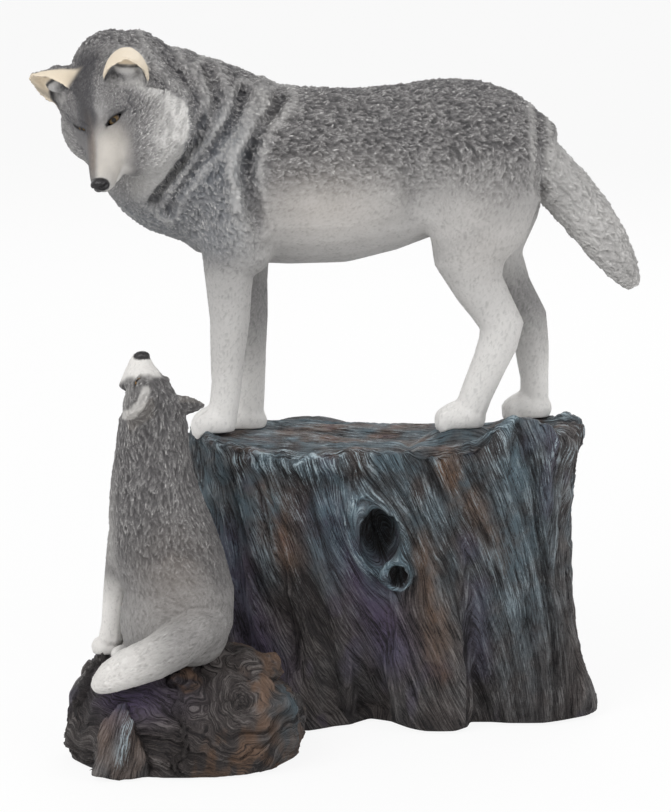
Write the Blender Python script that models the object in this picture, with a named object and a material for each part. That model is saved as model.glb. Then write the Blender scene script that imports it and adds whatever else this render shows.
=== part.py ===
"""A painted cast-resin figurine: an adult wolf on a tree stump looks down at a seated pup.

Three castings are glued together before they are painted. The base is the stump with the broken
root at its foot. The adult stands on the stump's top, and the pup sits on the root. X runs from
the adult's head towards its tail, Y runs from the front of the stump to its back, and Z is up.
The origin is on the stump's flat underside. Sizes are in millimetres, and MM turns them into metres.
"""

import math

import bmesh
import bpy
import numpy as np
from mathutils import Matrix, Vector

MM = 0.001

# The stump, measured from its own axis.
STUMP_HEIGHT = 102.0
STUMP_TOP_HALF_LENGTH = 70.0
STUMP_TOP_HALF_DEPTH = 43.0
STUMP_WAIST_HALF_LENGTH = 63.0
STUMP_WAIST_HALF_DEPTH = 35.0
STUMP_FOOT_HALF_LENGTH = 69.0
STUMP_FOOT_HALF_DEPTH = 33.0
STUMP_SQUARENESS = 2.5
STUMP_TWIST_DEG = 16.0
FLUTE_DEPTH = 1.3
FLUTE_COUNT = 19

# The broken root at the stump's foot, on which the pup sits.
ROOT_X = -70.0
ROOT_Y = -62.0
ROOT_HEIGHT = 35.0
ROOT_HALF_LENGTH = 36.5
ROOT_HALF_DEPTH = 33.0

# The knot holes in the stump's front, at heights above the underside.
KNOT_X = -2.0
KNOT_HEIGHT = 71.0
KNOT_HALF_WIDTH = 6.2
KNOT_HALF_HEIGHT = 11.5
KNOT_DEPTH = 11.0
SMALL_KNOT_X = 4.0
SMALL_KNOT_HEIGHT = 56.5
SMALL_KNOT_RADIUS = 3.4
SMALL_KNOT_DEPTH = 6.0

# The glue line that the castings keep between them.
GLUE_LINE = 0.3

# The adult wolf. Its heights are measured above the stump's top.
WITHERS_HEIGHT = 124.0
BELLY_HEIGHT = 61.0
CHEST_HALF_WIDTH = 24.0
STANCE_HALF_WIDTH = 11.0
ADULT_HEAD_SIZE = 1.0
ADULT_MUZZLE_LENGTH = 24.5
ADULT_EAR_HALF_WIDTH = 8.0
ADULT_EAR_CUP = 17.0
ADULT_EAR_OPENING = (0.97, 0.16, 0.16)
TAIL_LENGTH = 66.0
TAIL_HALF_WIDTH = 9.4

# The pup. Its heights are measured above the root's top.
PUP_X = -75.0
PUP_Y = -62.0
PUP_HEIGHT = 104.0
PUP_HALF_WIDTH = 18.0
PUP_HEAD_SIZE = 0.82
PUP_MUZZLE_LENGTH = 12.0
PUP_EAR_HALF_WIDTH = 7.2
PUP_EAR_CUP = 6.0
PUP_EAR_OPENING = (0.62, 0.78, 0.0)

# The ears in the frame of a head: the front of each one's root and its tip, the right ear first.
ADULT_EARS = (((-8.6, -13.3, 7.0), (-14.4, -21.1, 17.6)), ((-8.6, 13.3, 7.0), (-10.8, 20.2, 16.4)))
PUP_EARS = (((-9.0, -8.4, 5.5), (-12.5, -19.5, 11.5)), ((-9.0, 8.4, 5.5), (-12.5, 19.5, 11.5)))
EAR_WALL = 2.2

# How finely the castings are worked before their surfaces are thinned, and the faces that stay.
ADULT_GRAIN = 0.7
PUP_GRAIN = 0.6
BASE_GRAIN = 1.0
ADULT_FACES = 6000
PUP_FACES = 2300
BASE_FACES = 3200
RING_SIDES = 24


# Building blocks


def material(name, colour, roughness):
    """A painted resin with one colour."""
    made = bpy.data.materials.new(name)
    made.use_nodes = True
    shader = made.node_tree.nodes["Principled BSDF"]
    shader.inputs["Base Color"].default_value = (*colour, 1.0)
    shader.inputs["Roughness"].default_value = roughness
    shader.inputs["Metallic"].default_value = 0.0
    return made


def ring_edges(ring):
    """The edges of a circle that was just made."""
    return list({edge for vert in ring["verts"] for edge in vert.link_edges})


def rounded(stations, dome):
    """The stations with a smaller ring beyond each end, so that the body ends in a dome."""
    first, last = stations[0], stations[-1]
    start = Vector(first[:3]) - Vector(stations[1][:3])
    end = Vector(last[:3]) - Vector(stations[-2][:3])
    before = Vector(first[:3]) + start.normalized() * dome * min(first[3:])
    after = Vector(last[:3]) + end.normalized() * dome * min(last[3:])
    return [
        (*before, first[3] * 0.6, first[4] * 0.6),
        *stations,
        (*after, last[3] * 0.6, last[4] * 0.6),
    ]


def loft(shape, stations, side=(0, 1, 0), dome=0.6):
    """Skins elliptical rings. A station is x, y, z, half width along side, half width across it."""
    stations = rounded(stations, dome)
    points = [Vector(station[:3]) for station in stations]
    rings = []
    for i, station in enumerate(stations):
        along = (points[min(i + 1, len(points) - 1)] - points[max(i - 1, 0)]).normalized()
        across = Vector(side)
        across = (across - across.dot(along) * along).normalized()
        turn = Matrix((across * station[3], along.cross(across) * station[4], along)).transposed()
        place = Matrix.Translation(points[i]) @ turn.to_4x4()
        ring = bmesh.ops.create_circle(shape, segments=RING_SIDES, radius=1.0, matrix=place)
        rings.append(ring_edges(ring))
    for near, far in zip(rings, rings[1:]):
        bmesh.ops.bridge_loops(shape, edges=near + far)
    for end in (rings[0], rings[-1]):
        bmesh.ops.contextual_create(shape, geom=end)


def ball(shape, centre, radii, turn=(0, 0, 0)):
    """An ellipsoid, turned by angles in degrees about its own axes."""
    spin = Matrix.Identity(4)
    for angle, axis in zip(turn, "XYZ"):
        spin = Matrix.Rotation(math.radians(angle), 4, axis) @ spin
    place = Matrix.Translation(Vector(centre)) @ spin @ Matrix.Diagonal((*radii, 1.0))
    bmesh.ops.create_uvsphere(shape, u_segments=24, v_segments=16, radius=1.0, matrix=place)


def new_object(name, shape):
    """The shape as an object in metres. The shape is in millimetres, and is used up."""
    bmesh.ops.scale(shape, vec=(MM, MM, MM), verts=shape.verts)
    bmesh.ops.recalc_face_normals(shape, faces=shape.faces)
    mesh = bpy.data.meshes.new(name)
    shape.to_mesh(mesh)
    shape.free()
    made = bpy.data.objects.new(name, mesh)
    bpy.context.scene.collection.objects.link(made)
    return made


def take_back(shape, obj):
    """Adds the object's skin to a shape in millimetres, and removes the object."""
    mesh = obj.data
    mesh.transform(Matrix.Scale(1 / MM, 4))
    shape.from_mesh(mesh)
    bpy.data.objects.remove(obj)
    bpy.data.meshes.remove(mesh)


def settle(obj):
    """Replaces the object's mesh by what its modifiers make of it."""
    bpy.context.view_layer.update()
    graph = bpy.context.evaluated_depsgraph_get()
    mesh = bpy.data.meshes.new_from_object(obj.evaluated_get(graph))
    obj.modifiers.clear()
    obj.data = mesh


def fuse(obj, grain, smoothing):
    """Makes one skin round all of the object's overlapping shapes, and rounds what it joins."""
    skin = obj.modifiers.new("one_skin", "REMESH")
    skin.mode = "VOXEL"
    skin.voxel_size = grain * MM
    relax = obj.modifiers.new("rounding", "SMOOTH")
    relax.factor = 0.5
    relax.iterations = smoothing
    settle(obj)


def carve(obj, cutter, grain):
    """Cuts the cutter's shape out of the object, and removes the cutter."""
    cut = obj.modifiers.new("carving", "BOOLEAN")
    cut.operation = "DIFFERENCE"
    cut.object = cutter
    settle(obj)
    bpy.data.objects.remove(cutter)
    if grain:
        fuse(obj, grain, 2)


def keep_largest(obj):
    """Deletes every loose crumb that a cut left beside the main body."""
    shape = bmesh.new()
    shape.from_mesh(obj.data)
    left = set(shape.verts)
    bodies = []
    while left:
        body, front = set(), [left.pop()]
        while front:
            vert = front.pop()
            body.add(vert)
            for edge in vert.link_edges:
                other = edge.other_vert(vert)
                if other in left:
                    left.remove(other)
                    front.append(other)
        bodies.append(body)
    bodies.sort(key=len)
    crumbs = [vert for body in bodies[:-1] for vert in body]
    bmesh.ops.delete(shape, geom=crumbs, context="VERTS")
    shape.to_mesh(obj.data)
    shape.free()


# Sculpting tools, which work on a fused skin


def points_of(obj):
    """The skin's points and outward normals, both as arrays, the points in millimetres."""
    count = len(obj.data.vertices)
    points = np.empty(count * 3, np.float32)
    normals = np.empty(count * 3, np.float32)
    obj.data.vertices.foreach_get("co", points)
    obj.data.vertices.foreach_get("normal", normals)
    return points.reshape(-1, 3).astype(float) / MM, normals.reshape(-1, 3).astype(float)


def put_points(obj, points):
    """Writes the moved points back to the skin."""
    obj.data.vertices.foreach_set("co", (points * MM).astype(np.float32).ravel())
    obj.data.update()


def distance_to_line(points, line):
    """How far each point is from a line of several straight runs."""
    nearest = np.full(len(points), np.inf)
    for start, end in zip(line, line[1:]):
        run = end - start
        share = np.clip((points - start) @ run / max(run @ run, 1e-9), 0, 1)
        nearest = np.minimum(nearest, np.linalg.norm(points - start - share[:, None] * run, axis=1))
    return nearest


def bump_profile(distance, reach):
    """One on the line, falling smoothly to nothing at reach."""
    return np.clip(1 - (distance / reach) ** 2, 0, None) ** 2


def stroke(points, normals, line, reach, height):
    """Raises a ridge along a line in space, or presses a groove where height is below nothing."""
    near = bump_profile(distance_to_line(points, np.array(line, float)), reach)
    return points + normals * (near * height)[:, None]


def side_stroke(points, normals, line, reach, height, flank):
    """The same along a line of x and z, for all of the skin that faces one flank: -1 or 1 in Y."""
    flat = points[:, [0, 2]]
    near = bump_profile(distance_to_line(flat, np.array(line, float)), reach)
    facing = np.clip(normals[:, 1] * flank * 2.5, 0, 1)
    return points + normals * (near * facing * height)[:, None]


def thin(obj, faces, dense=None):
    """Thins the skin to about that many triangles. Points that dense marks keep more of them."""
    obj.data.calc_loop_triangles()
    cut = obj.modifiers.new("thinning", "DECIMATE")
    cut.ratio = faces / len(obj.data.loop_triangles)
    cut.use_collapse_triangulate = True
    if dense is not None:
        group = obj.vertex_groups.new(name="plain_areas")
        plain = [int(i) for i in np.flatnonzero(~dense)]
        detailed = [int(i) for i in np.flatnonzero(dense)]
        group.add(plain, 1.0, "REPLACE")
        group.add(detailed, 0.75, "REPLACE")
        cut.vertex_group = group.name
        cut.vertex_group_factor = 0.0004
    settle(obj)
    obj.vertex_groups.clear()
    keep_largest(obj)
    obj.data.shade_smooth()


def offset_copy(obj, distance):
    """A copy of the object with its skin pushed out, to cut a neighbour with."""
    copy = obj.copy()
    copy.data = obj.data.copy()
    copy.name = "cutter"
    copy.hide_render = True
    bpy.context.scene.collection.objects.link(copy)
    points, normals = points_of(copy)
    put_points(copy, points + normals * distance)
    return copy


# A wolf's head, in its own frame: X along the muzzle, Y to its left and Z up from its brow


def head_frame(origin, forward, up, size):
    """The matrix that places a head, whose own origin is between its eyes."""
    along = Vector(forward).normalized()
    top = Vector(up)
    top = (top - top.dot(along) * along).normalized()
    turn = Matrix((along, top.cross(along), top)).transposed().to_4x4()
    return Matrix.Translation(Vector(origin)) @ turn @ Matrix.Scale(size, 4)


def add_ear(shape, root, tip, half_width, cup, faces):
    """Skins an ear as a deep cup with a thin wall, from its root to its pointed tip, open where it faces."""
    along = (Vector(tip) - Vector(root)).normalized()
    opening = Vector((faces[0], faces[1] * math.copysign(1, tip[1]), faces[2]))
    opening = (opening - opening.dot(along) * along).normalized()
    across = along.cross(opening)
    outline = (
        (-0.35, 0.92, 1.0),
        (0.0, 1.0, 1.0),
        (0.25, 1.0, 0.84),
        (0.5, 0.9, 0.62),
        (0.72, 0.68, 0.4),
        (0.9, 0.4, 0.22),
        (1.0, 0.2, 0.13),
    )
    rings = []
    for share, wide, deep in outline:
        middle = Vector(root).lerp(Vector(tip), share)
        wall = EAR_WALL * (1 - 0.4 * max(share, 0))
        outer, inner = half_width * wide, max(half_width * wide - wall, 0.3)
        ring = bmesh.ops.create_circle(shape, segments=RING_SIDES, radius=1.0)
        for vert in ring["verts"]:
            side, back = vert.co.x, vert.co.y
            on_outside = back > -0.01
            aside = (outer if on_outside else inner) * side
            depth = (cup * deep if on_outside else max(cup * deep - wall, 0.3)) * abs(back)
            vert.co = middle + across * aside - opening * depth
        rings.append(ring_edges(ring))
    for near, far in zip(rings, rings[1:]):
        bmesh.ops.bridge_loops(shape, edges=near + far)
    for end in (rings[0], rings[-1]):
        bmesh.ops.contextual_create(shape, geom=end)


def add_placed(shape, head, place):
    """Adds a head's shapes to the animal's, in its place, and uses them up."""
    bmesh.ops.transform(head, matrix=place, verts=head.verts)
    mesh = bpy.data.meshes.new("head")
    head.to_mesh(mesh)
    head.free()
    shape.from_mesh(mesh)
    bpy.data.meshes.remove(mesh)


def add_head_masses(shape, place, muzzle_length, ruff):
    """The skull, the wedge of the face and the ruff of a wolf's head."""
    head = bmesh.new()
    reach = muzzle_length / 25.0
    ball(head, (-11.0, 0, 0.3), (15.0, 12.5, 11.0))
    face = (
        (-27, 8.0, 15, 14),
        (-21, 10.5, 20, 18),
        (-15, 11.3, 22.5, 19),
        (-9, 10.8, 22, 17.5),
        (-4, 9.2, 18.5, 14.5),
        (1, 6.8, 14.5, 11.3),
        (6, 4.7, 10.2, 8.4),
        (12, 3.0, 6.8, 5.8),
        (18.5, 2.0, 4.9, 4.5),
        (22.5, 1.4, 3.9, 3.7),
    )
    stations = []
    for x, ridge, wide, deep in face:
        full = ruff + (1 - ruff) * min(1, max(0, x / 12))
        wide, deep = wide * full, deep * full
        stations.append((x * (reach if x > 0 else 1), 0, ridge - deep, wide, deep))
    loft(head, stations)
    if ruff > 0.9:
        for flank in (-1, 1):
            pressed = 0 if flank > 0 else 5
            ball(head, (-7 - pressed, flank * 15.5, -15), (15, 12, 12))
            ball(head, (2 - pressed, flank * 11.5, -14), (13 - pressed, 11, 11))
            ball(head, (5 - pressed, flank * 7, -10), (12 - pressed, 8.5, 9))
    add_placed(shape, head, place)


def add_head_details(shape, place, muzzle_length, ears, ear_half_width, ear_cup, ear_faces):
    """The muzzle, lower jaw, nose, brows and ears of a wolf's head."""
    head = bmesh.new()
    reach = muzzle_length / 25.0
    muzzle = ((3, -2.6, 8.8, 8.2), (12, -3.3, 7.0, 6.4), (18.5, -2.9, 5.3, 5.2), (22.5, -2.5, 4.3, 4.2))
    loft(head, [(x * reach, 0, z, wide, deep) for x, z, wide, deep in muzzle])
    jaw = ((2, -9.5, 7.6, 4.4), (11, -8.6, 5.2, 3.2), (18.5, -7.4, 3.5, 2.2))
    loft(head, [(x * reach, 0, z, wide, deep) for x, z, wide, deep in jaw])
    ball(head, (24.3 * reach, 0, -0.6), (2.0, 3.4, 2.6))
    for flank in (-1, 1):
        ball(head, (-3.0, flank * 5.4, 4.6), (5.2, 3.4, 1.9), turn=(0, 0, flank * 14))
    for root, tip in ears:
        add_ear(head, root, tip, ear_half_width, ear_cup, ear_faces)
    add_placed(shape, head, place)


def sculpt_head(points, normals, place, size, muzzle_length):
    """Eye sockets, the stop between the brows, the mouth line and the nose, on both sides."""
    reach = muzzle_length / 25.0

    def mark(line, width, height):
        """One stroke along a line in the head's own frame."""
        return stroke(points, normals, [place @ Vector(p) for p in line], width * size, height * size)

    points = mark([(2, 0, 6.0), (-9, 0, 10.0)], 2.4, -0.5)
    for flank in (-1, 1):
        points = mark([(3.2, flank * 4.8, 3.4), (-0.8, flank * 7.8, 3.0)], 2.6, -1.1)
        mouth = [(22 * reach, flank * 1.5, -5.0), (14 * reach, flank * 4.4, -5.2), (5 * reach, flank * 6.2, -5.4)]
        points = mark(mouth, 1.3, -0.8)
    return points


# The three castings


def stump_radius(angle, rise):
    """The stump's radius at an angle about its axis, at a rise from 0 at its foot to 1 at its top."""
    if rise < 0.5:
        share = (1 - rise * 2) ** 1.6
        length = STUMP_WAIST_HALF_LENGTH + share * (STUMP_FOOT_HALF_LENGTH - STUMP_WAIST_HALF_LENGTH)
        depth = STUMP_WAIST_HALF_DEPTH + share * (STUMP_FOOT_HALF_DEPTH - STUMP_WAIST_HALF_DEPTH)
    else:
        share = (rise * 2 - 1) ** 1.6
        length = STUMP_WAIST_HALF_LENGTH + share * (STUMP_TOP_HALF_LENGTH - STUMP_WAIST_HALF_LENGTH)
        depth = STUMP_WAIST_HALF_DEPTH + share * (STUMP_TOP_HALF_DEPTH - STUMP_WAIST_HALF_DEPTH)
    power = STUMP_SQUARENESS
    sides = abs(math.cos(angle) / length) ** power + abs(math.sin(angle) / depth) ** power
    radius = sides ** (-1 / power)
    for middle, width, foot, head in STUMP_LOBES:
        turn = (math.degrees(angle) - middle + 180) % 360 - 180
        radius += math.exp(-((turn / width) ** 2)) * (foot * (1 - rise) ** 1.7 + head * rise)
    sway = angle + math.radians(STUMP_TWIST_DEG) * rise
    return radius + FLUTE_DEPTH * math.sin(FLUTE_COUNT * sway + 2.0 * math.sin(3 * sway))


# Roots and clefts round the stump: angle in degrees, width in degrees, reach at foot and at top.
STUMP_LOBES = (
    (-128, 9, 8, 0),
    (-98, 13, -10, -1),
    (-62, 13, 10, 1),
    (-40, 7, -5, 0),
    (-15, 15, 11, 1),
    (25, 12, 8, -1),
    (70, 13, 9, 1),
    (105, 9, -5, -1),
    (140, 14, 9, 1),
    (180, 13, 6, 2),
)

# The lie of the stump's top: x, y, reach in x, reach in y, and height above STUMP_HEIGHT.
TOP_SWELLS = (
    (50, -33, 15, 10, 12),
    (64, -6, 7, 18, 4),
    (10, 46, 90, 20, -10),
    (-27, 36, 16, 9, 5),
    (0, -6, 30, 16, -2.5),
    (-34, -42, 16, 9, -5),
    (8, -42, 12, 6, 1),
)

# The adult's paws: x, which flank, and height of the seat above STUMP_HEIGHT.
PAWS = {
    "near_fore": (-61.0, -1, 1.8),
    "far_fore": (-50.5, 1, -1.6),
    "near_hind": (27.0, -1, 3.6),
    "far_hind": (52.0, 1, 3.0),
}
SEAT_REACH = 11.0


def top_lift(x, y):
    """How far the stump's top stands above STUMP_HEIGHT: swells, and a level seat for each paw."""
    lift = 0.0
    for middle_x, middle_y, reach_x, reach_y, height in TOP_SWELLS:
        lift += height * math.exp(-(((x - middle_x) / reach_x) ** 2) - ((y - middle_y) / reach_y) ** 2)
    for seat_x, flank, height in PAWS.values():
        away = math.hypot(x - seat_x, (y - flank * STANCE_HALF_WIDTH) * 1.2) / SEAT_REACH
        share = math.exp(-(away**4))
        lift += share * (height - lift)
    return lift


def build_stump(shape):
    """The stump as rings from its foot to its top."""
    rises = (0.0, 0.04, 0.1, 0.18, 0.28, 0.38, 0.5, 0.62, 0.74, 0.84, 0.92, 0.97, 1.0)
    sides = 160
    rings = []
    for rise in rises:
        place = Matrix.Translation((0, 0, rise * STUMP_HEIGHT))
        ring = bmesh.ops.create_circle(shape, segments=sides, radius=1.0, matrix=place)
        for vert in ring["verts"]:
            angle = math.atan2(vert.co.y, vert.co.x)
            tuck = 1.5 if rise in (0.0, 1.0) else 0.0
            radius = stump_radius(angle, rise) - tuck
            vert.co.x = radius * math.cos(angle)
            vert.co.y = radius * math.sin(angle)
        rings.append(ring_edges(ring))
    for near, far in zip(rings, rings[1:]):
        bmesh.ops.bridge_loops(shape, edges=near + far)
    for end in (rings[0], rings[-1]):
        bmesh.ops.contextual_create(shape, geom=end)


def build_root(shape):
    """The broken root: a long block with lobes on it, sunk through the floor to be cut level."""
    middle = 9.0
    half_height = ROOT_HEIGHT - middle
    outline = (
        (-0.93, 0.55, 0.80),
        (-0.80, 0.72, 0.96),
        (-0.50, 0.9, 1.0),
        (-0.15, 1.0, 1.02),
        (0.3, 0.97, 1.06),
        (0.62, 0.86, 1.06),
        (0.84, 0.68, 0.86),
        (0.95, 0.5, 0.6),
    )
    loft(
        shape,
        [
            (ROOT_X + share * ROOT_HALF_LENGTH, ROOT_Y, middle, ROOT_HALF_DEPTH * deep, half_height * tall)
            for share, deep, tall in outline
        ],
        dome=0.3,
    )
    ball(shape, (ROOT_X + 20, ROOT_Y + 26, 10), (21, 17, 17))
    ball(shape, (ROOT_X - 20, ROOT_Y - 25, 8), (11, 10, 17), turn=(10, 0, 12))
    ball(shape, (ROOT_X - 33, ROOT_Y - 3, 7), (8, 12, 11))
    ball(shape, (ROOT_X - 18, ROOT_Y - 12, 18), (17, 15, 14))
    ball(shape, (ROOT_X - 27, ROOT_Y + 10, ROOT_HEIGHT - 10), (10, 13, 9))
    ball(shape, (ROOT_X + 23, ROOT_Y - 13, 15), (16, 16, 18))
    ball(shape, (ROOT_X + 1, ROOT_Y - 19, 12), (16, 12, 15))


def knot_cutter():
    """The two knot holes, let into the stump's front at its own surface."""
    shape = bmesh.new()
    holes = (
        (KNOT_X, KNOT_HEIGHT, KNOT_HALF_WIDTH, KNOT_HALF_HEIGHT, KNOT_DEPTH, 18),
        (SMALL_KNOT_X, SMALL_KNOT_HEIGHT, SMALL_KNOT_RADIUS, SMALL_KNOT_RADIUS, SMALL_KNOT_DEPTH, 0),
    )
    for x, height, half_width, half_height, depth, lean in holes:
        rise = height / STUMP_HEIGHT
        angle = math.atan2(-STUMP_WAIST_HALF_DEPTH, x)
        front = -stump_radius(angle, rise) * abs(math.sin(angle))
        ball(shape, (x, front, height), (half_width, depth, half_height), turn=(0, lean, 0))
    return new_object("knot_holes", shape)


def build_base():
    """The stump and the broken root at its foot, cast in one."""
    shape = bmesh.new()
    build_stump(shape)
    build_root(shape)
    base = new_object("stump_base", shape)
    fuse(base, BASE_GRAIN, 6)
    points, normals = points_of(base)
    high = np.clip((points[:, 2] / STUMP_HEIGHT - 0.72) / 0.28, 0, 1) ** 1.5
    lift = np.array([top_lift(x, y) for x, y in points[:, :2]])
    points[:, 2] += high * lift
    for x, height, half_width, half_height in (
        (KNOT_X, KNOT_HEIGHT, KNOT_HALF_WIDTH, KNOT_HALF_HEIGHT),
        (SMALL_KNOT_X, SMALL_KNOT_HEIGHT, SMALL_KNOT_RADIUS, SMALL_KNOT_RADIUS),
    ):
        away = np.hypot((points[:, 0] - x) / half_width, (points[:, 2] - height) / half_height)
        rim = np.exp(-(((away - 1.15) / 0.35) ** 2)) * np.clip(-normals[:, 1], 0, 1)
        points = points + normals * (rim * 1.8)[:, None]
    put_points(base, points)
    carve(base, knot_cutter(), BASE_GRAIN)
    floor = bmesh.new()
    bmesh.ops.create_cube(floor, size=600, matrix=Matrix.Translation((0, 0, -300)))
    carve(base, new_object("floor", floor), None)
    thin(base, BASE_FACES)
    base.data.materials.append(material("painted_bark", (0.16, 0.14, 0.13), 0.6))
    return base


def leg(shape, stations, flank):
    """One leg of the adult. A station is x, height above the stump's top, half width in Y and X."""
    loft(
        shape,
        [
            (x, flank * STANCE_HALF_WIDTH * spread, STUMP_HEIGHT + height, wide, deep)
            for x, height, wide, deep, spread in stations
        ],
    )


def paw(shape, name, half_length, half_width, tall):
    """A paw: a low pad with four toes, let into its seat."""
    x, flank, seat = PAWS[name]
    y = flank * STANCE_HALF_WIDTH
    floor = STUMP_HEIGHT + seat
    ball(shape, (x, y, floor + tall * 0.35), (half_length, half_width, tall * 0.75))
    for toe in (-1.5, -0.5, 0.5, 1.5):
        reach = half_length * (0.78 - 0.09 * abs(toe))
        ball(
            shape,
            (x - reach, y + toe * half_width * 0.46, floor + tall * 0.22),
            (half_length * 0.36, half_width * 0.29, tall * 0.55),
        )


def adult_trunk(shape, rise):
    """The adult's barrel, neck, shoulders and haunches."""
    trunk = (
        (-60, 231, 166, 0.98),
        (-48, 227.5, 163, 1.0),
        (-34, 226, 162.5, 1.0),
        (-16, 225.5, 163, 0.97),
        (-2, 226, 167, 0.91),
        (12, 228, 172.5, 0.86),
        (23, 229, 178, 0.84),
        (33, 228, 178, 0.84),
        (44, 224, 181, 0.76),
        (51, 219, 185, 0.62),
    )
    belly = BELLY_HEIGHT - 61.0
    stations = []
    for x, back, under, wide in trunk:
        back, under = back + rise, under + belly
        stations.append((x, 0, (back + under) / 2, CHEST_HALF_WIDTH * wide, (back - under) / 2))
    loft(shape, stations)
    neck = (
        (-52, 0, 197.5, 24, 32.5),
        (-63, -1, 202, 24, 32.5),
        (-73, -4, 206, 23.5, 32.5),
        (-80, -7, 209, 22.5, 30),
        (-86, -10, 212, 20, 26),
    )
    loft(shape, [(x, y, z + rise, wide, deep) for x, y, z, wide, deep in neck])
    ball(shape, (-75, -4, 211 + rise), (22, 21, 29))
    ball(shape, (-88, -8, 216 + rise), (20, 20, 30.5))
    ball(shape, (-96, -10, 225.5 + rise), (16, 17, 21.5))
    for flank in (-1, 1):
        ball(shape, (-52, flank * 15, 190 + rise), (14, 11, 30), turn=(0, -10, 0))
        ball(shape, (35, flank * 11, 195 + rise), (20, 11.5, 29), turn=(0, 12, 0))


def adult_legs(shape):
    """The adult's four legs, without their paws."""
    fore = (
        (-54, 76, 9.5, 12, 1.25),
        (-55.5, 62, 7.5, 9.2, 1.1),
        (-55.5, 54, 6.6, 8.2, 1.05),
        (-55.3, 42, 5.9, 7.2, 1.0),
        (-56.2, 29, 5.2, 6.2, 1.0),
        (-56.6, 19, 4.9, 5.5, 1.0),
        (-57.5, 11, 4.8, 5.4, 1.0),
        (-58.5, 6, 5.0, 5.6, 1.0),
    )
    leg(shape, fore, -1)
    far_x = PAWS["far_fore"][0] - PAWS["near_fore"][0]
    far_fore = [(x + far_x * (0.9 - height / 130), height, w, d, s) for x, height, w, d, s in fore]
    leg(shape, [(x, height - 2, w, d, s) for x, height, w, d, s in far_fore], 1)
    near_hind = (
        (35, 90, 11, 20, 1.1),
        (32, 74, 10, 17.5, 1.05),
        (29.5, 62.5, 8.5, 12.5, 1.0),
        (33, 54, 6.8, 9.2, 1.0),
        (38, 46, 5.6, 8.0, 1.0),
        (41.3, 40, 5.2, 8.0, 1.0),
        (40, 34, 4.9, 7.2, 1.0),
        (36.8, 26, 4.6, 6.4, 1.0),
        (32.6, 16, 4.5, 5.9, 1.0),
        (30.5, 10, 4.8, 5.8, 1.0),
    )
    leg(shape, near_hind, -1)
    far_hind = (
        (40, 90, 11, 18, 1.1),
        (41, 76, 9.5, 14, 1.05),
        (40, 62, 7.8, 9.5, 1.0),
        (45.5, 50, 6.0, 7.6, 1.0),
        (51.3, 39, 5.2, 7.6, 1.0),
        (53.3, 28, 4.7, 6.3, 1.0),
        (54.3, 17, 4.5, 5.2, 1.0),
        (54.5, 9, 4.8, 5.2, 1.0),
    )
    leg(shape, far_hind, 1)


def adult_tail_and_paws(shape, rise):
    """The adult's hanging tail and its four paws."""
    for name in PAWS:
        paw(shape, name, 8.0 if "fore" in name else 9.0, 6.2, 8.5)
    tail = (
        (0.0, 0.92, 0.92),
        (0.15, 1.0, 1.0),
        (0.32, 1.0, 1.0),
        (0.5, 0.96, 0.97),
        (0.68, 0.86, 0.86),
        (0.83, 0.68, 0.66),
        (0.94, 0.42, 0.4),
    )
    root = Vector((49, 0, 204.5 + rise))
    tip = root + Vector((0.62, 0, -0.785)).normalized() * TAIL_LENGTH
    stations = []
    for share, wide, deep in tail:
        sag = math.sin(share * math.pi) * 2.5
        middle = root.lerp(tip, share) + Vector((0.785, 0, 0.62)) * sag
        stations.append((*middle, TAIL_HALF_WIDTH * 0.9 * wide, TAIL_HALF_WIDTH * deep))
    loft(shape, stations)


def build_adult(base):
    """The adult wolf: trunk, neck and ruff, head, legs and tail as one casting."""
    rise = WITHERS_HEIGHT - 124.0
    head = head_frame((-98.0, -27.7, 215.7 + rise), (-0.05, -0.57, -0.82), (-0.52, -0.68, 0.51), ADULT_HEAD_SIZE)
    masses = bmesh.new()
    adult_trunk(masses, rise)
    adult_legs(masses)
    add_head_masses(masses, head, ADULT_MUZZLE_LENGTH, 1.0)
    rough = new_object("rough", masses)
    fuse(rough, 1.0, 16)
    shape = bmesh.new()
    take_back(shape, rough)
    adult_legs(shape)
    adult_tail_and_paws(shape, rise)
    hoods = (ADULT_EARS, ADULT_EAR_HALF_WIDTH, ADULT_EAR_CUP, ADULT_EAR_OPENING)
    add_head_details(shape, head, ADULT_MUZZLE_LENGTH, *hoods)
    adult = new_object("adult_wolf", shape)
    fuse(adult, ADULT_GRAIN, 5)
    points, normals = points_of(adult)
    points = sculpt_head(points, normals, head, ADULT_HEAD_SIZE, ADULT_MUZZLE_LENGTH)
    for flank in (-1, 1):
        for line, width, height in COAT_FOLDS:
            shifted = [(x, z + rise) for x, z in line]
            points = side_stroke(points, normals, shifted, width, height, flank)
    put_points(adult, points)
    near_head = np.linalg.norm(points - np.array(head.translation), axis=1) < 34 * ADULT_HEAD_SIZE
    thin(adult, ADULT_FACES, near_head)
    carve(adult, offset_copy(base, GLUE_LINE * 1.2), None)
    keep_largest(adult)
    adult.data.materials.append(material("painted_fur", (0.42, 0.42, 0.43), 0.6))
    return adult


# Folds of the adult's coat on each flank: a line of x and z, its half width, its height.
COAT_FOLDS = (
    (((-50, 224), (-53, 219), (-60, 211), (-69, 202), (-77, 193), (-80, 186)), 5.0, -1.7),
    (((-62, 229), (-59.5, 224), (-62, 216), (-69, 207), (-76, 199), (-82, 191)), 5.0, -1.5),
    (((-42, 222), (-47, 213), (-53, 206), (-54, 198), (-51, 187), (-46, 179)), 4.5, 1.3),
    (((-40, 219), (-44, 213), (-48, 206), (-50, 198), (-46, 184), (-43, 172)), 6.0, -1.6),
    (((8, 222), (14, 210), (16, 200), (14, 188)), 10.0, -2.4),
)


# The way the pup's chest faces, and its left.
PUP_FACING = Vector((-0.8, 0.6, 0))
PUP_LEFT = Vector((-0.6, -0.8, 0))


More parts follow.
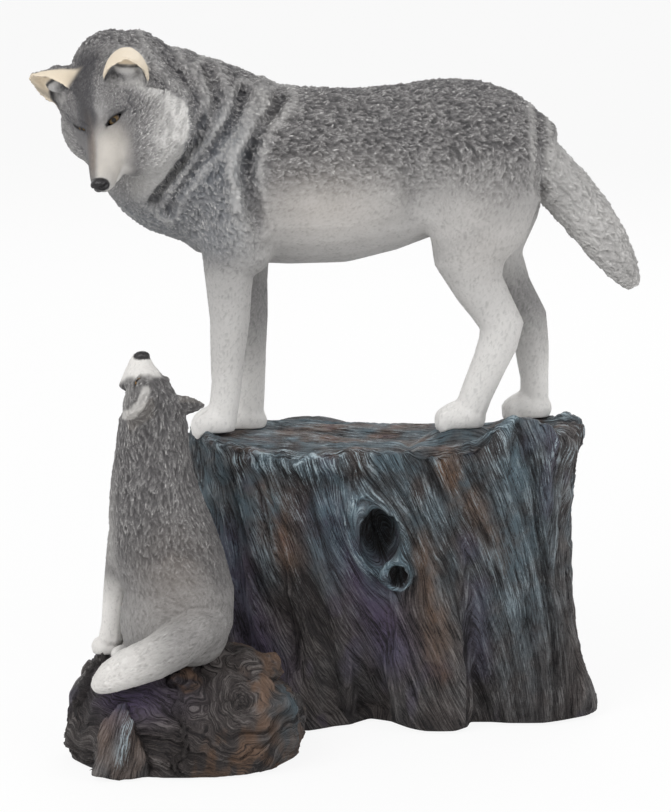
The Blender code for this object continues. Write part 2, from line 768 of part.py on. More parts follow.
def build_pup(base):
    """The seated pup: body, haunches, legs, tail and raised head as one casting."""
    masses = bmesh.new()
    rise = PUP_HEIGHT / 104.0
    wide = PUP_HALF_WIDTH

    def at(x, y, height):
        """A point in the figurine's frame from the pup's own middle and the root's top."""
        return (PUP_X + x, PUP_Y + y, ROOT_HEIGHT + height * rise)

    body = (
        (7, -2, 9, 0.85, 0.85),
        (5, -2, 20, 0.98, 1.0),
        (1, -1, 32, 0.98, 1.04),
        (-2.5, 0, 43, 0.92, 1.02),
        (-4.5, 1, 53, 0.85, 0.92),
        (-5.5, 1, 63, 0.76, 0.8),
        (-5.5, 1, 73, 0.68, 0.7),
        (-5, 1, 83, 0.64, 0.66),
    )
    loft(masses, [(*at(x, y, z), wide * side, wide * deep) for x, y, z, side, deep in body])
    ball(masses, at(8, -6, 12), (13, 13, 15))
    for flank in (-1, 1):
        haunch = PUP_LEFT * (flank * 10) - PUP_FACING
        ball(masses, at(haunch.x, haunch.y, 14), (13, 9.5, 17), turn=(0, 0, -37))
        shoulder = PUP_LEFT * (flank * 7) + PUP_FACING * 7
        ball(masses, at(shoulder.x, shoulder.y, 50), (8, 8, 13), turn=(0, 0, -37))
    head = head_frame(at(-7.0, 1, 95.5), (-0.15, 0.25, 0.95), (0.6, -0.75, 0.1), PUP_HEAD_SIZE)
    add_head_masses(masses, head, PUP_MUZZLE_LENGTH, 0.5)
    rough = new_object("rough", masses)
    fuse(rough, 0.9, 12)
    shape = bmesh.new()
    take_back(shape, rough)
    fore = (
        (6, 7.5, 54, 8.5),
        (11, 7.5, 42, 7.3),
        (15.5, 7.0, 31, 5.4),
        (18.5, 6.8, 20, 4.3),
        (20, 6.6, 10, 3.9),
        (21, 6.5, 4, 4.3),
    )
    for flank in (-1, 1):
        foot = PUP_FACING * 9 + PUP_LEFT * (flank * 11)
        ball(shape, at(foot.x, foot.y, 0.5), (8, 4.5, 4.2), turn=(0, 0, -37))
        stations = []
        for forward, aside, height, radius in fore:
            middle = PUP_FACING * forward + PUP_LEFT * (flank * aside)
            stations.append((*at(middle.x, middle.y, height), radius, radius * 1.08))
        loft(shape, stations)
        front = PUP_FACING * 23.5 + PUP_LEFT * (flank * 6.5)
        ball(shape, at(front.x, front.y, 0.5), (6.0, 4.6, 4.2), turn=(0, 0, -37))
    tail = (
        (15, -10, 14, 6.5),
        (10, -18, 13.5, 7.6),
        (3, -23, 9.5, 7.8),
        (-5, -25.5, 5.5, 7.4),
        (-13, -26, 2.5, 6.8),
        (-19.5, -25, -1.2, 5.4),
        (-23.0, -24, -4.0, 3.6),
    )
    loft(shape, [(*at(x, y, z), radius, radius) for x, y, z, radius in tail], side=(0, 0, 1))
    leaves = (PUP_EARS, PUP_EAR_HALF_WIDTH, PUP_EAR_CUP, PUP_EAR_OPENING)
    add_head_details(shape, head, PUP_MUZZLE_LENGTH, *leaves)
    pup = new_object("wolf_pup", shape)
    fuse(pup, PUP_GRAIN, 4)
    points, normals = points_of(pup)
    points = sculpt_head(points, normals, head, PUP_HEAD_SIZE, PUP_MUZZLE_LENGTH)
    put_points(pup, points)
    near_head = np.linalg.norm(points - np.array(head.translation), axis=1) < 30 * PUP_HEAD_SIZE
    thin(pup, PUP_FACES, near_head)
    carve(pup, offset_copy(base, GLUE_LINE * 1.2), None)
    keep_largest(pup)
    pup.data.materials.append(material("painted_pup_fur", (0.36, 0.36, 0.36), 0.6))
    return pup


def main():
    """Clears the scene and builds the three castings."""
    for old in list(bpy.data.objects):
        bpy.data.objects.remove(old)
    base = build_base()
    build_adult(base)
    build_pup(base)


main()
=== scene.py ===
"""The looks of a painted cast-resin figurine: an adult wolf on a tree stump looks down at a pup.

Each casting starts from a merged copy of its plain solid, gets one fine skin, and is then worked as
a sculptor works it: folds, locks of fur and furrows of bark are raised from the skin, and what was
raised is kept as attributes that the paint reads. Working sizes are in millimetres, in the frame
that the solids share, and each finished piece is in metres.
"""

import logging
import math
from dataclasses import dataclass
from enum import Enum

import bmesh
import bpy
import numpy as np
from mathutils import Matrix, Vector, kdtree


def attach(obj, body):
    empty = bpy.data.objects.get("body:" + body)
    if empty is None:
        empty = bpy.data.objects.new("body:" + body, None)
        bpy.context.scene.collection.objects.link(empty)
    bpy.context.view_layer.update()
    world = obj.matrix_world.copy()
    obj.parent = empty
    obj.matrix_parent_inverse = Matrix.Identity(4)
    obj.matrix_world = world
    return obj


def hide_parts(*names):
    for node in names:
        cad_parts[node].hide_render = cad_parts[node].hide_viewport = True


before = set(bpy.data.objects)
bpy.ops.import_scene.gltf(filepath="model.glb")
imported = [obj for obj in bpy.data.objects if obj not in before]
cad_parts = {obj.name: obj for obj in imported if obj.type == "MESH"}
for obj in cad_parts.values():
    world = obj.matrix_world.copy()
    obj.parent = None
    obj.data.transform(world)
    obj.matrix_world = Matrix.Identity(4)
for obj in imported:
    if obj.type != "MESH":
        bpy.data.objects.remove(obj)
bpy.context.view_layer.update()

MM = 0.001
LOG = logging.getLogger("figurine")
Array = np.ndarray
RIGHT, LEFT = Vector((1.0, 0.0, 0.0)), Vector((-1.0, 0.0, 0.0))


class Slot(Enum):
    """The record's finishes."""

    BARK = "painted_bark"
    ADULT_FUR = "painted_fur"
    PUP_FUR = "painted_pup_fur"


# Numbers on points


def fade(low: float, high: float, value: Array) -> Array:
    """Goes smoothly from 0 at low to 1 at high. High may be the smaller of the two."""
    share = np.clip((value - low) / (high - low), 0.0, 1.0)
    return share * share * (3.0 - 2.0 * share)


def around(points: Array, centre: tuple, radii: tuple) -> Array:
    """A soft spot that is 1 at its centre and nearly nothing beyond 1.6 radii."""
    return bell(np.linalg.norm((points - np.array(centre)) / np.array(radii), axis=1), 1.0)


def bell(value: Array, width: Array | float) -> Array:
    """1 where the value is nothing, and nearly nothing beyond 1.6 widths on either side."""
    return np.exp(-((value / width) ** 2))


def uppermost(*layers: object) -> Array:
    """The highest of several layers at each point."""
    return np.maximum.reduce(np.broadcast_arrays(*layers))


def line_distance(points: Array, line: list | tuple) -> Array:
    """How far each point is from a line of several straight runs, in two or three dimensions.

    Args:
        points: the points, in two or three dimensions.
        line: the corners of the line.

    Returns:
        One distance for each point.
    """
    corners = np.array(line, float)
    nearest = np.full(len(points), np.inf)
    for start, end in zip(corners, corners[1:]):
        run = end - start
        share = np.clip((points - start) @ run / max(run @ run, 1e-9), 0, 1)
        nearest = np.minimum(nearest, np.linalg.norm(points - start - share[:, None] * run, axis=1))
    return nearest


def streak(points: Array, line: list | tuple, width: float) -> Array:
    """A soft band along a line of x and z."""
    return bell(line_distance(points[:, [0, 2]], line), width)


def unit(vectors: Array) -> Array:
    """The vectors at length one."""
    return vectors / np.maximum(np.linalg.norm(vectors, axis=1, keepdims=True), 1e-9)


def scattered(cells: Array, seed: int) -> Array:
    """A fixed number from 0 to 1 for each whole-number cell.

    Args:
        cells: the cells, one in each row.
        seed: picks one scatter of many.

    Returns:
        One number for each cell.
    """
    mixed = cells[:, 0] * 73856093 ^ cells[:, 1] * 19349663 ^ cells[:, 2] * 83492791
    mixed = mixed ^ (seed * 26544357)
    mixed = (mixed ^ (mixed >> 13)) * 1274126177
    mixed = mixed ^ (mixed >> 16)
    return (mixed & 0xFFFFF) / float(0xFFFFF)


def clouds(points: Array, size: tuple | float, seed: int, layers: int = 1) -> Array:
    """Smooth noise from 0 to 1.

    Args:
        points: where it is wanted.
        size: how large its features are, in one number or one for each axis.
        seed: picks one noise of many.
        layers: how many finer noises, each half as large and half as strong, are added.

    Returns:
        One number for each point.
    """
    total, weight, scale = np.zeros(len(points)), 0.0, 1.0
    for layer in range(layers):
        grid = points / (np.array(size) * scale)
        base = np.floor(grid).astype(np.int64)
        share = grid - base
        share = share * share * (3 - 2 * share)
        for corner in range(8):
            step = np.array([(corner >> axis) & 1 for axis in range(3)])
            part = np.prod(np.where(step == 1, share, 1 - share), axis=1)
            total += scale * part * scattered(base + step, seed + layer * 101)
        weight += scale
        scale *= 0.5
    return total / weight


def furrows(points: Array, size: tuple | float, seed: int, layers: int = 1) -> Array:
    """Noise with sharp ridges: 1 on a ridge, 0 in the hollows."""
    return 1.0 - np.abs(2.0 * clouds(points, size, seed, layers) - 1.0) * 1.6


# Skins


def placed(name: str, data: object) -> bpy.types.Object:
    """An object of the scene for a mesh, a lamp or a camera."""
    made = bpy.data.objects.new(name, data)
    bpy.context.scene.collection.objects.link(made)
    return made


def new_object(name: str, shape: bmesh.types.BMesh) -> bpy.types.Object:
    """Turns a shape into an object of the scene, and uses the shape up.

    Args:
        name: the object's name.
        shape: its shape, which is freed.

    Returns:
        The object.
    """
    mesh = bpy.data.meshes.new(name)
    shape.to_mesh(mesh)
    shape.free()
    return placed(name, mesh)


class Skin:
    """The surface of one casting while it is worked, with its points in millimetres."""

    def __init__(self, name: str, shape: bmesh.types.BMesh) -> None:
        """Makes the skin from a shape in millimetres, and uses the shape up."""
        self.obj = new_object(name, shape)

    def settle(self) -> None:
        """Replaces the mesh by what the modifiers make of it."""
        bpy.context.view_layer.update()
        graph = bpy.context.evaluated_depsgraph_get()
        old = self.obj.data
        self.obj.data = bpy.data.meshes.new_from_object(self.obj.evaluated_get(graph))
        self.obj.modifiers.clear()
        bpy.data.meshes.remove(old)

    def fuse(self, grain: float, smoothing: int) -> None:
        """Makes one even skin round all shapes.

        Args:
            grain: the distance between its points.
            smoothing: how many times it is relaxed.
        """
        skin = self.obj.modifiers.new("one_skin", "REMESH")
        skin.mode = "VOXEL"
        skin.voxel_size = grain
        relax = self.obj.modifiers.new("relaxing", "SMOOTH")
        relax.factor = 0.5
        relax.iterations = smoothing
        self.settle()

    def points(self) -> Array:
        """The skin's points."""
        return self.vectors("co")

    def normals(self) -> Array:
        """The way the skin faces at each point."""
        return self.vectors("normal")

    def vectors(self, label: str) -> Array:
        """What the mesh keeps for each point under a label, as three numbers."""
        flat = np.empty(len(self.obj.data.vertices) * 3, np.float32)
        self.obj.data.vertices.foreach_get(label, flat)
        return flat.reshape(-1, 3).astype(float)

    def put(self, points: Array) -> None:
        """Moves the skin's points."""
        self.obj.data.vertices.foreach_set("co", points.astype(np.float32).ravel())
        self.obj.data.update()

    def raise_by(self, height: Array) -> None:
        """Moves each point outwards by its height, or inwards where that is below nothing."""
        self.put(self.points() + self.normals() * height[:, None])

    def note(self, layers: dict) -> None:
        """Keeps numbers for each point under their names, for the paint to read."""
        for name, values in layers.items():
            kept = self.obj.data.attributes.new(name, "FLOAT", "POINT")
            kept.data.foreach_set("value", values.astype(np.float32))

    def refine(self, chosen: Array) -> None:
        """Halves the grain where the points are chosen.

        Args:
            chosen: for each point, whether it lies where the grain is halved.
        """
        shape = bmesh.new()
        shape.from_mesh(self.obj.data)
        shape.verts.ensure_lookup_table()
        marked = [bool(flag) for flag in chosen]
        edges = [edge for edge in shape.edges if all(marked[vert.index] for vert in edge.verts)]
        made = bmesh.ops.subdivide_edges(shape, edges=edges, cuts=1, use_grid_fill=True)
        inner = [item for item in made["geom_inner"] if isinstance(item, bmesh.types.BMVert)]
        for _ in range(2):
            bmesh.ops.smooth_vert(
                shape, verts=inner, factor=0.5, use_axis_x=True, use_axis_y=True, use_axis_z=True
            )
        shape.to_mesh(self.obj.data)
        shape.free()

    def part(self, name: str, planes: list, material: bpy.types.Material) -> bpy.types.Object:
        """Cuts one piece out of the skin, closes it, and finishes it in metres.

        Args:
            name: the piece's name.
            planes: pairs of a point and the direction that is cut away.
            material: what the piece is painted with.

        Returns:
            The finished piece, which shades as if the skin were whole.
        """
        normals = self.normals()
        mesh = self.obj.data.copy()
        mesh.name = name
        kept = mesh.attributes.new("whole_normal", "FLOAT_VECTOR", "POINT")
        kept.data.foreach_set("vector", normals.astype(np.float32).ravel())
        shape = bmesh.new()
        shape.from_mesh(mesh)
        for point, outward in planes:
            geometry = shape.verts[:] + shape.edges[:] + shape.faces[:]
            cut = bmesh.ops.bisect_plane(
                shape, geom=geometry, dist=1e-4, plane_co=point, plane_no=outward, clear_outer=True
            )
            rim = [item for item in cut["geom_cut"] if isinstance(item, bmesh.types.BMEdge)]
            bmesh.ops.holes_fill(shape, edges=rim, sides=0)
        bmesh.ops.triangulate(shape, faces=[face for face in shape.faces if len(face.verts) > 4])
        bmesh.ops.scale(shape, vec=(MM, MM, MM), verts=shape.verts)
        shape.to_mesh(mesh)
        shape.free()
        mesh.shade_smooth()
        flat = np.empty(len(mesh.vertices) * 3, np.float32)
        mesh.attributes["whole_normal"].data.foreach_get("vector", flat)
        mesh.normals_split_custom_set_from_vertices(unit(flat.reshape(-1, 3)).tolist())
        mesh.attributes.remove(mesh.attributes["whole_normal"])
        mesh.materials.clear()
        mesh.materials.append(material)
        return placed(name, mesh)

    def discard(self) -> None:
        """Removes the working skin."""
        mesh = self.obj.data
        bpy.data.objects.remove(self.obj)
        bpy.data.meshes.remove(mesh)


def merged_copy(node: str) -> bmesh.types.BMesh:
    """A merged copy of a solid, in millimetres.

    Args:
        node: the solid's node in the frame.

    Returns:
        Its shape, with every corner merged.
    """
    shape = bmesh.new()
    shape.from_mesh(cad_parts[node].data)
    bmesh.ops.scale(shape, vec=(1 / MM, 1 / MM, 1 / MM), verts=shape.verts)
    bmesh.ops.remove_doubles(shape, verts=shape.verts, dist=0.002)
    return shape


def ball(shape: bmesh.types.BMesh, centre: tuple, radius: float) -> list:
    """Adds a ball to a shape, and gives its points."""
    place = Matrix.Translation(Vector(centre)) @ Matrix.Scale(radius, 4)
    made = bmesh.ops.create_uvsphere(shape, u_segments=48, v_segments=32, radius=1.0, matrix=place)
    return made["verts"]


# Locks of fur


@dataclass
class Coat:
    """How fur lies: the way it runs and the size of its locks, one value for each point.

    Attributes:
        grain: the distance between the skin's points.
        neighbours: how many locks may cover a point.
        spread_deg: how much the locks' ways differ.
        bare_share: how much of a lock's area its root keeps free of other roots.
        bend: how much the locks wave, as a share of their width.
    """

    flow: Array
    length: Array
    width: Array
    height: Array
    grain: float
    seed: int
    neighbours: int = 11
    spread_deg: float = 17.0
    bare_share: float = 0.36
    bend: float = 0.32

    def comb(self, points: Array, normals: Array) -> tuple:
        """Lays overlapping locks on the skin.

        Args:
            points: the skin's points.
            normals: the way that the skin faces.

        Returns:
            How high the uppermost lock stands at each point, from 0 to 1, and the point's place across
            and along that lock in millimetres, from which the paint draws its hairs.
        """
        rng = np.random.default_rng(self.seed)
        share = self.grain**2 / (self.length * self.width * self.bare_share)
        roots = np.flatnonzero(rng.random(len(points)) < share)
        tree = kdtree.KDTree(len(roots))
        for index, root in enumerate(roots):
            tree.insert(points[root], index)
        tree.balance()
        found = [[hit[1] for hit in tree.find_n(point, self.neighbours)] for point in points.tolist()]
        near = roots[np.array(found)]
        turn = np.radians(rng.normal(0, self.spread_deg, len(points)))
        bend = rng.normal(0, self.bend, len(points))
        stretch = rng.uniform(0.75, 1.25, len(points))
        rise = rng.uniform(0.55, 1.0, len(points))
        shift = rng.uniform(0, 60.0, len(points))
        along = unit(self.flow - (self.flow * normals).sum(1)[:, None] * normals)
        across = np.cross(normals, along)
        lean = along * np.cos(turn)[:, None] + across * np.sin(turn)[:, None]
        aside = np.cross(normals, lean)
        top = np.zeros(len(points))
        place_across, place_along = np.zeros(len(points)), np.zeros(len(points))
        for number, column in enumerate(near.T):
            away = points - points[column]
            length = self.length[column] * stretch[column]
            reach = (away * lean[column]).sum(1) / length + 0.5
            wave = bend[column] * np.sin(reach * 4.0) * self.width[column]
            side = (away * aside[column]).sum(1) - wave
            half = self.width[column] * 0.5 * np.clip(1.2 - reach**3, 0.2, 1.0)
            crown = np.clip(1 - (side / half) ** 2, 0, 1) ** 0.7
            ramp = np.clip(reach, 0, 1) ** 0.8 * fade(1.02, 0.84, reach)
            same_side = (normals * normals[column]).sum(1) > 0.1
            lock = crown * ramp * rise[column] * same_side * (reach > 0)
            higher = (lock > top) | (number == 0)
            top = np.where(higher, lock, top)
            place_across = np.where(higher, side + shift[column], place_across)
            place_along = np.where(higher, reach * length, place_along)
        return top, place_across, place_along


# Heads


def off_muzzle(local: Array) -> Array:
    """How far points of a head's frame are from the muzzle's middle line."""
    return np.hypot(local[:, 1], local[:, 2] + 3.0)


@dataclass
class Head:
    """A wolf's head in its own frame: X along the muzzle, Y to its left and Z up from its brow.

    Attributes:
        ears: for the right and the left ear, the front of its root and its tip.
        ear_opening: the way that the left ear's hollow faces.
        cream_depths: how far round the back of each ear the cream reaches.
        eye_open: how far the right and the left eye are open.
        eye_place: about where the left eye is, which is then set on the skin.
        eye_slit: the way from the left eye's inner corner to its outer one.
    """

    origin: tuple
    forward: tuple
    up: tuple
    size: float
    muzzle: float
    ears: tuple
    ear_half_width: float
    ear_cup: float
    ear_opening: tuple
    cream_depths: tuple = (0.6, 1.3)
    eye_open: tuple = (1.0, 1.0)
    eye_place: tuple = (1.2, 7.0, 3.0)
    eye_slit: tuple = (-2.6, 3.8, 0.0)

    def axes(self) -> Array:
        """The head's axes as rows."""
        along = Vector(self.forward).normalized()
        top = Vector(self.up)
        top = (top - top.dot(along) * along).normalized()
        return np.array([along, top.cross(along), top])

    def local(self, points: Array) -> Array:
        """Points of the figurine in the head's frame and at its size."""
        return (points - np.array(self.origin)) @ self.axes().T / self.size

    def world(self, points: list) -> Array:
        """Points of the head's frame in the figurine."""
        return np.array(points, float) * self.size @ self.axes() + np.array(self.origin)

    def reach(self) -> float:
        """The muzzle's length as a share of an adult's."""
        return self.muzzle / 25.0

    def ear_frame(self, ear: tuple, inside: Array) -> tuple:
        """How far points lie along an ear's hood, across it and towards its open side.

        Args:
            ear: the front of the ear's root, and its tip, in the head's frame.
            inside: points in the head's frame.

        Returns:
            The share of the ear's length, and the places across it and towards its opening as shares
            of its half width and of its depth there; its half width there; then the directions across
            and towards the opening.
        """
        root, tip = np.array(ear[0]), np.array(ear[1])
        along = tip - root
        long = float(np.linalg.norm(along))
        along /= long
        opening = np.array(self.ear_opening) * (1, np.sign(tip[1]), 1)
        opening -= opening @ along * along
        opening /= np.linalg.norm(opening)
        across = np.cross(along, opening)
        away = inside - root
        share = away @ along / long
        shares = (-0.35, 0.0, 0.25, 0.5, 0.72, 0.9, 1.0)
        wide = np.interp(share, shares, (0.92, 1.0, 1.0, 0.9, 0.68, 0.4, 0.2)) * self.ear_half_width
        deep = np.interp(share, shares, (1.0, 1.0, 0.84, 0.62, 0.4, 0.22, 0.13)) * self.ear_cup
        return share, away @ across / wide, away @ opening / deep, wide, across, opening

    def fill_ears(self, shape: bmesh.types.BMesh, radius: float, depth: float) -> None:
        """Adds a ball in each ear, so that its hollow is shallow.

        Args:
            shape: the shape that is worked on.
            radius: the balls' radius.
            depth: how far behind the opening they sit.
        """
        for root, tip in self.ears:
            along = np.array(tip) - np.array(root)
            opening = np.array(self.ear_opening) * (1, np.sign(tip[1]), 1)
            opening /= np.linalg.norm(opening)
            middle = np.array(root) + 0.3 * along - opening * depth
            ball(shape, tuple(self.world([middle])[0]), radius)

    def eye_frame(self, flank: int, inside: Array, facing: Array) -> tuple:
        """An eye's place on the skin, and its slit's direction, upward direction and outward direction.

        Args:
            flank: 1 for the wolf's left eye, -1 for its right.
            inside: the skin's points in the head's frame.
            facing: the skin's normals in the head's frame.

        Returns:
            The place, then the three directions.
        """
        wanted = np.array(self.eye_place) * (1, flank, 1)
        nearest = int(np.argmin(np.linalg.norm(inside - wanted, axis=1)))
        close = np.linalg.norm(inside - inside[nearest], axis=1) < 3.0
        outward = facing[close].mean(0)
        outward /= np.linalg.norm(outward)
        slit = np.array(self.eye_slit) * (1, flank, 1)
        slit -= slit @ outward * outward
        slit /= np.linalg.norm(slit)
        upward = np.cross(outward, slit)
        upward *= np.sign(upward[2])
        return inside[nearest], slit, upward, outward

    def carve_face(self, skin: Skin) -> dict:
        """Works the eyes, nose and mouth into a fine skin.

        Args:
            skin: the casting's skin, already refined at the face.

        Returns:
            Masks for the paint, and the eyes' places under the key eyes.
        """
        inside = self.local(skin.points())
        facing = skin.normals() @ self.axes().T
        step = np.zeros(len(inside))
        black = np.zeros(len(inside))
        socket = np.zeros(len(inside))
        long = self.reach()
        half_slit, ball_radius = 3.5, 3.4
        eyes = []
        for flank in (-1, 1):
            place, slit, upward, outward = self.eye_frame(flank, inside, facing)
            away = inside - place
            along, up, out = away @ slit / half_slit, away @ upward, away @ outward
            close = (np.linalg.norm(away, axis=1) < 9.0) & (np.abs(out) < 4.5)
            wide_open = self.eye_open[int(flank > 0)]
            upper_lid = 1.1 * wide_open * np.clip(1 - along**2, 0, 1)
            lower_lid = -1.2 * wide_open * np.clip(1 - np.abs(along + 0.15) ** 2.5, 0, 1)
            gap = np.minimum(upper_lid - up, up - lower_lid)
            opening = fade(0.0, 0.26, gap) * close * (np.abs(along) < 1)
            above = bell(up - upper_lid - 0.55, 0.6) * fade(1.6, 0.9, np.abs(along)) * close
            below = bell(up - lower_lid + 0.45, 0.5) * fade(1.4, 0.8, np.abs(along)) * close
            crease = bell(up - upper_lid - 1.9, 0.6) * fade(1.6, 0.8, np.abs(along)) * close
            step += 0.65 * above + 0.35 * below - 0.5 * crease - 1.5 * opening
            top_line = bell(up - upper_lid - 0.2, 0.58) * fade(1.25, 1.05, np.abs(along)) * close
            low_line = bell(up - lower_lid, 0.3) * fade(1.1, 0.95, np.abs(along)) * close
            tear = [place - slit * 3.2, place - slit * 4.9 - upward * 1.1]
            tail = [place + slit * s + upward * u for s, u in ((3.2, 0.0), (5.2, 0.4), (7.6, 1.3))]
            inner = bell(line_distance(inside, tear), 0.5)
            outer = 0.85 * bell(line_distance(inside, tail), 0.55)
            black = uppermost(black, opening, top_line, 0.85 * low_line, inner, outer)
            # Painted shade round the eye, most of it on the lid under the brow; the paint reads it as the
            # socket mask.
            spot = np.exp(-((along * half_slit / 6.0) ** 2) - ((up - 1.0) / 3.2) ** 2) * close
            socket = np.maximum(socket, spot)
            centre = place - outward * 3.2
            eyes.append((self.world([centre])[0], outward @ self.axes(), ball_radius * self.size))
            mouth = [(x * long, flank * y, z) for x, y, z in ((22, 1.5, -5.0), (14, 4.4, -5.6), (5, 6.4, -6.8))]
            lips = bell(line_distance(inside, mouth), 0.6)
            step -= 0.45 * lips
            black = np.maximum(black, 0.3 * lips)
            nostril = [(25.6 * long, flank * 1.5, -0.3), (24.6 * long, flank * 2.9, -0.9)]
            step -= 0.8 * bell(line_distance(inside, nostril), 0.65)
        divide = [(26.8 * long, 0, 0.6), (26.0 * long, 0, -2.6), (24.0 * long, 0, -4.4)]
        step -= 0.35 * bell(line_distance(inside, divide), 0.45)
        nose_out = np.linalg.norm((inside - np.array((24.6 * long, 0, -0.5))) / (2.7, 4.0, 3.0), axis=1)
        nose = fade(1.12, 0.95, nose_out)
        step += 0.35 * fade(1.0, 0.7, nose_out)
        black = np.maximum(black, nose)
        ears = self.ear_masks(inside, facing)
        skin.raise_by(step * self.size)
        return {"black": black, "nose": nose, "socket": socket, "inside": inside, "eyes": eyes, **ears}

    def ear_masks(self, inside: Array, facing: Array) -> dict:
        """Where the ears' backs, rims, hollows and tufts are, each from 0 to 1.

        Args:
            inside: the skin's points in the head's frame.
            facing: the skin's normals in the head's frame.

        Returns:
            The masks cream, rim, hollow and tuft.
        """
        masks = {name: np.zeros(len(inside)) for name in ("cream", "rim", "hollow", "tuft")}
        for ear in self.ears:
            share, side, depth, wide, across, opening = self.ear_frame(ear, inside)
            turned_side, turned_open = facing @ across, facing @ opening
            here = fade(-0.12, 0.04, share) * (share < 1.2) * (np.abs(side) < 1.5)
            here = here * (depth > -1.35) * (depth < 0.4)
            radius = np.hypot(side, np.minimum(depth, 0.0))
            outward = (turned_side * side + turned_open * np.minimum(depth, 0.0)) / np.maximum(radius, 0.05)
            outer = here * fade(-0.25, 0.1, outward) * fade(0.66, 0.8, radius)
            wall = 2.2 * (1 - 0.4 * np.clip(share, 0, 1))
            off_rim = np.abs(np.abs(side) * wide - (wide - wall) - 0.2)
            edge = here * fade(0.75, 0.3, off_rim) * fade(-0.3, -0.12, depth) * fade(-0.1, 0.3, turned_open)
            inner = here * (1 - outer) * fade(0.98, 0.9, radius)
            arch = np.hypot(side * wide / (0.9 * self.ear_half_width), np.clip(share, 0, 2) / 0.54)
            lining = inner * fade(1.0, 1.06, arch)
            edge = np.maximum(0.4 * edge, inner * bell(arch - 0.97, 0.06))
            bound = -self.cream_depths[int(ear[1][1] > 0)]
            cream = outer * fade(0.02, 0.16, share) * fade(bound - 0.12, bound + 0.05, depth)
            cream = np.maximum(cream, lining) * (1 - edge)
            bottom = fade(0.15, -0.35, side * np.sign(ear[1][1]))
            for name, values in (
                ("cream", cream),
                ("rim", edge),
                ("hollow", inner * (1 - edge) * (1 - lining)),
                ("tuft", inner * fade(0.42, 0.1, share) * (0.35 + 0.65 * bottom)),
            ):
                masks[name] = np.maximum(masks[name], values)
        return masks


# Paint


def srgb(red: int, green: int, blue: int) -> tuple:
    """A colour as it looks on a screen, from 0 to 255, for a shader's socket."""
    shares = (red / 255, green / 255, blue / 255)
    return (*(s / 12.92 if s <= 0.04045 else ((s + 0.055) / 1.055) ** 2.4 for s in shares), 1.0)


class Wiring:
    """Adds nodes to one tree and joins them."""

    def __init__(self, tree: bpy.types.NodeTree) -> None:
        """Works on the given tree."""
        self.tree = tree

    def add(self, kind: str, inputs: dict, **settings: object) -> bpy.types.Node:
        """Adds one node.

        Args:
            kind: the node's type.
            inputs: for each socket, another node's output to link or a value to set.
            settings: the node's own properties.

        Returns:
            The node.
        """
        node = self.tree.nodes.new(kind)
        for key, value in settings.items():
            setattr(node, key, value)
        self.feed(node, inputs)
        return node

    def feed(self, node: bpy.types.Node, inputs: dict) -> None:
        """Links another node's output to each named socket, or sets its value.

        Args:
            node: the node.
            inputs: for each socket, an output to link or a value.
        """
        for key, value in inputs.items():
            if isinstance(value, bpy.types.NodeSocket):
                self.tree.links.new(value, node.inputs[key])
            else:
                node.inputs[key].default_value = value

    def mask(self, name: str) -> bpy.types.NodeSocket:
        """An attribute that was noted on the skin."""
        return self.add("ShaderNodeAttribute", {}, attribute_name=name).outputs["Fac"]

    def mix(self, share: object, first: object, second: object) -> bpy.types.NodeSocket:
        """Goes from the first colour to the second."""
        node = self.add("ShaderNodeMix", {0: share, 6: first, 7: second}, data_type="RGBA")
        return node.outputs[2]

    def math(self, operation: str, first: object, second: object = 0.0) -> bpy.types.NodeSocket:
        """One sum on two numbers."""
        return self.add("ShaderNodeMath", {0: first, 1: second}, operation=operation).outputs[0]

    def span(self, value: object, low: float, high: float, to: tuple = (0.0, 1.0)) -> bpy.types.NodeSocket:
        """Maps low to high smoothly onto another range."""
        inputs = {"Value": value, 1: low, 2: high, 3: to[0], 4: to[1]}
        node = self.add("ShaderNodeMapRange", inputs, interpolation_type="SMOOTHSTEP")
        return node.outputs[0]

    def group(self, tree: bpy.types.NodeTree, inputs: dict) -> bpy.types.Node:
        """Places a shared effect."""
        return self.add("ShaderNodeGroup", inputs, node_tree=tree)

    def product(self, first: object, second: object) -> bpy.types.NodeSocket:
        """Multiplies two numbers."""
        return self.math("MULTIPLY", first, second)

    def noise(
        self, place: object, scale: object, detail: float, rough: float, dimensions: str = "2D"
    ) -> bpy.types.NodeSocket:
        """Noise in the plane of the first two numbers of a place, or in space."""
        inputs = {"Vector": place, "Scale": scale, "Detail": detail, "Roughness": rough}
        return self.add("ShaderNodeTexNoise", inputs, noise_dimensions=dimensions).outputs["Fac"]

    def grooves(self, start: bpy.types.Node, shrink: float) -> bpy.types.NodeSocket:
        """A place across and along a lock or a fibre, with the way along it drawn out."""
        along = self.product(start.outputs["Along"], shrink)
        inputs = {0: start.outputs["Across"], 1: along}
        return self.add("ShaderNodeCombineXYZ", inputs).outputs[0]

    def bump(self, height: object, strength: float, metres: float) -> bpy.types.NodeSocket:
        """A surface that is raised by the height."""
        inputs = {"Height": height, "Strength": strength, "Distance": metres}
        return self.add("ShaderNodeBump", inputs).outputs[0]


def new_group(name: str, inputs: dict, outputs: dict) -> tuple:
    """An empty shared effect.

    Args:
        name: the effect's name.
        inputs: socket kind by name.
        outputs: socket kind by name.

    Returns:
        The tree, its wiring, its input node and its output node.
    """
    tree = bpy.data.node_groups.new(name, "ShaderNodeTree")
    for label, kind in inputs.items():
        tree.interface.new_socket(label, in_out="INPUT", socket_type=kind)
    for label, kind in outputs.items():
        tree.interface.new_socket(label, in_out="OUTPUT", socket_type=kind)
    wiring = Wiring(tree)
    return tree, wiring, wiring.add("NodeGroupInput", {}), wiring.add("NodeGroupOutput", {})


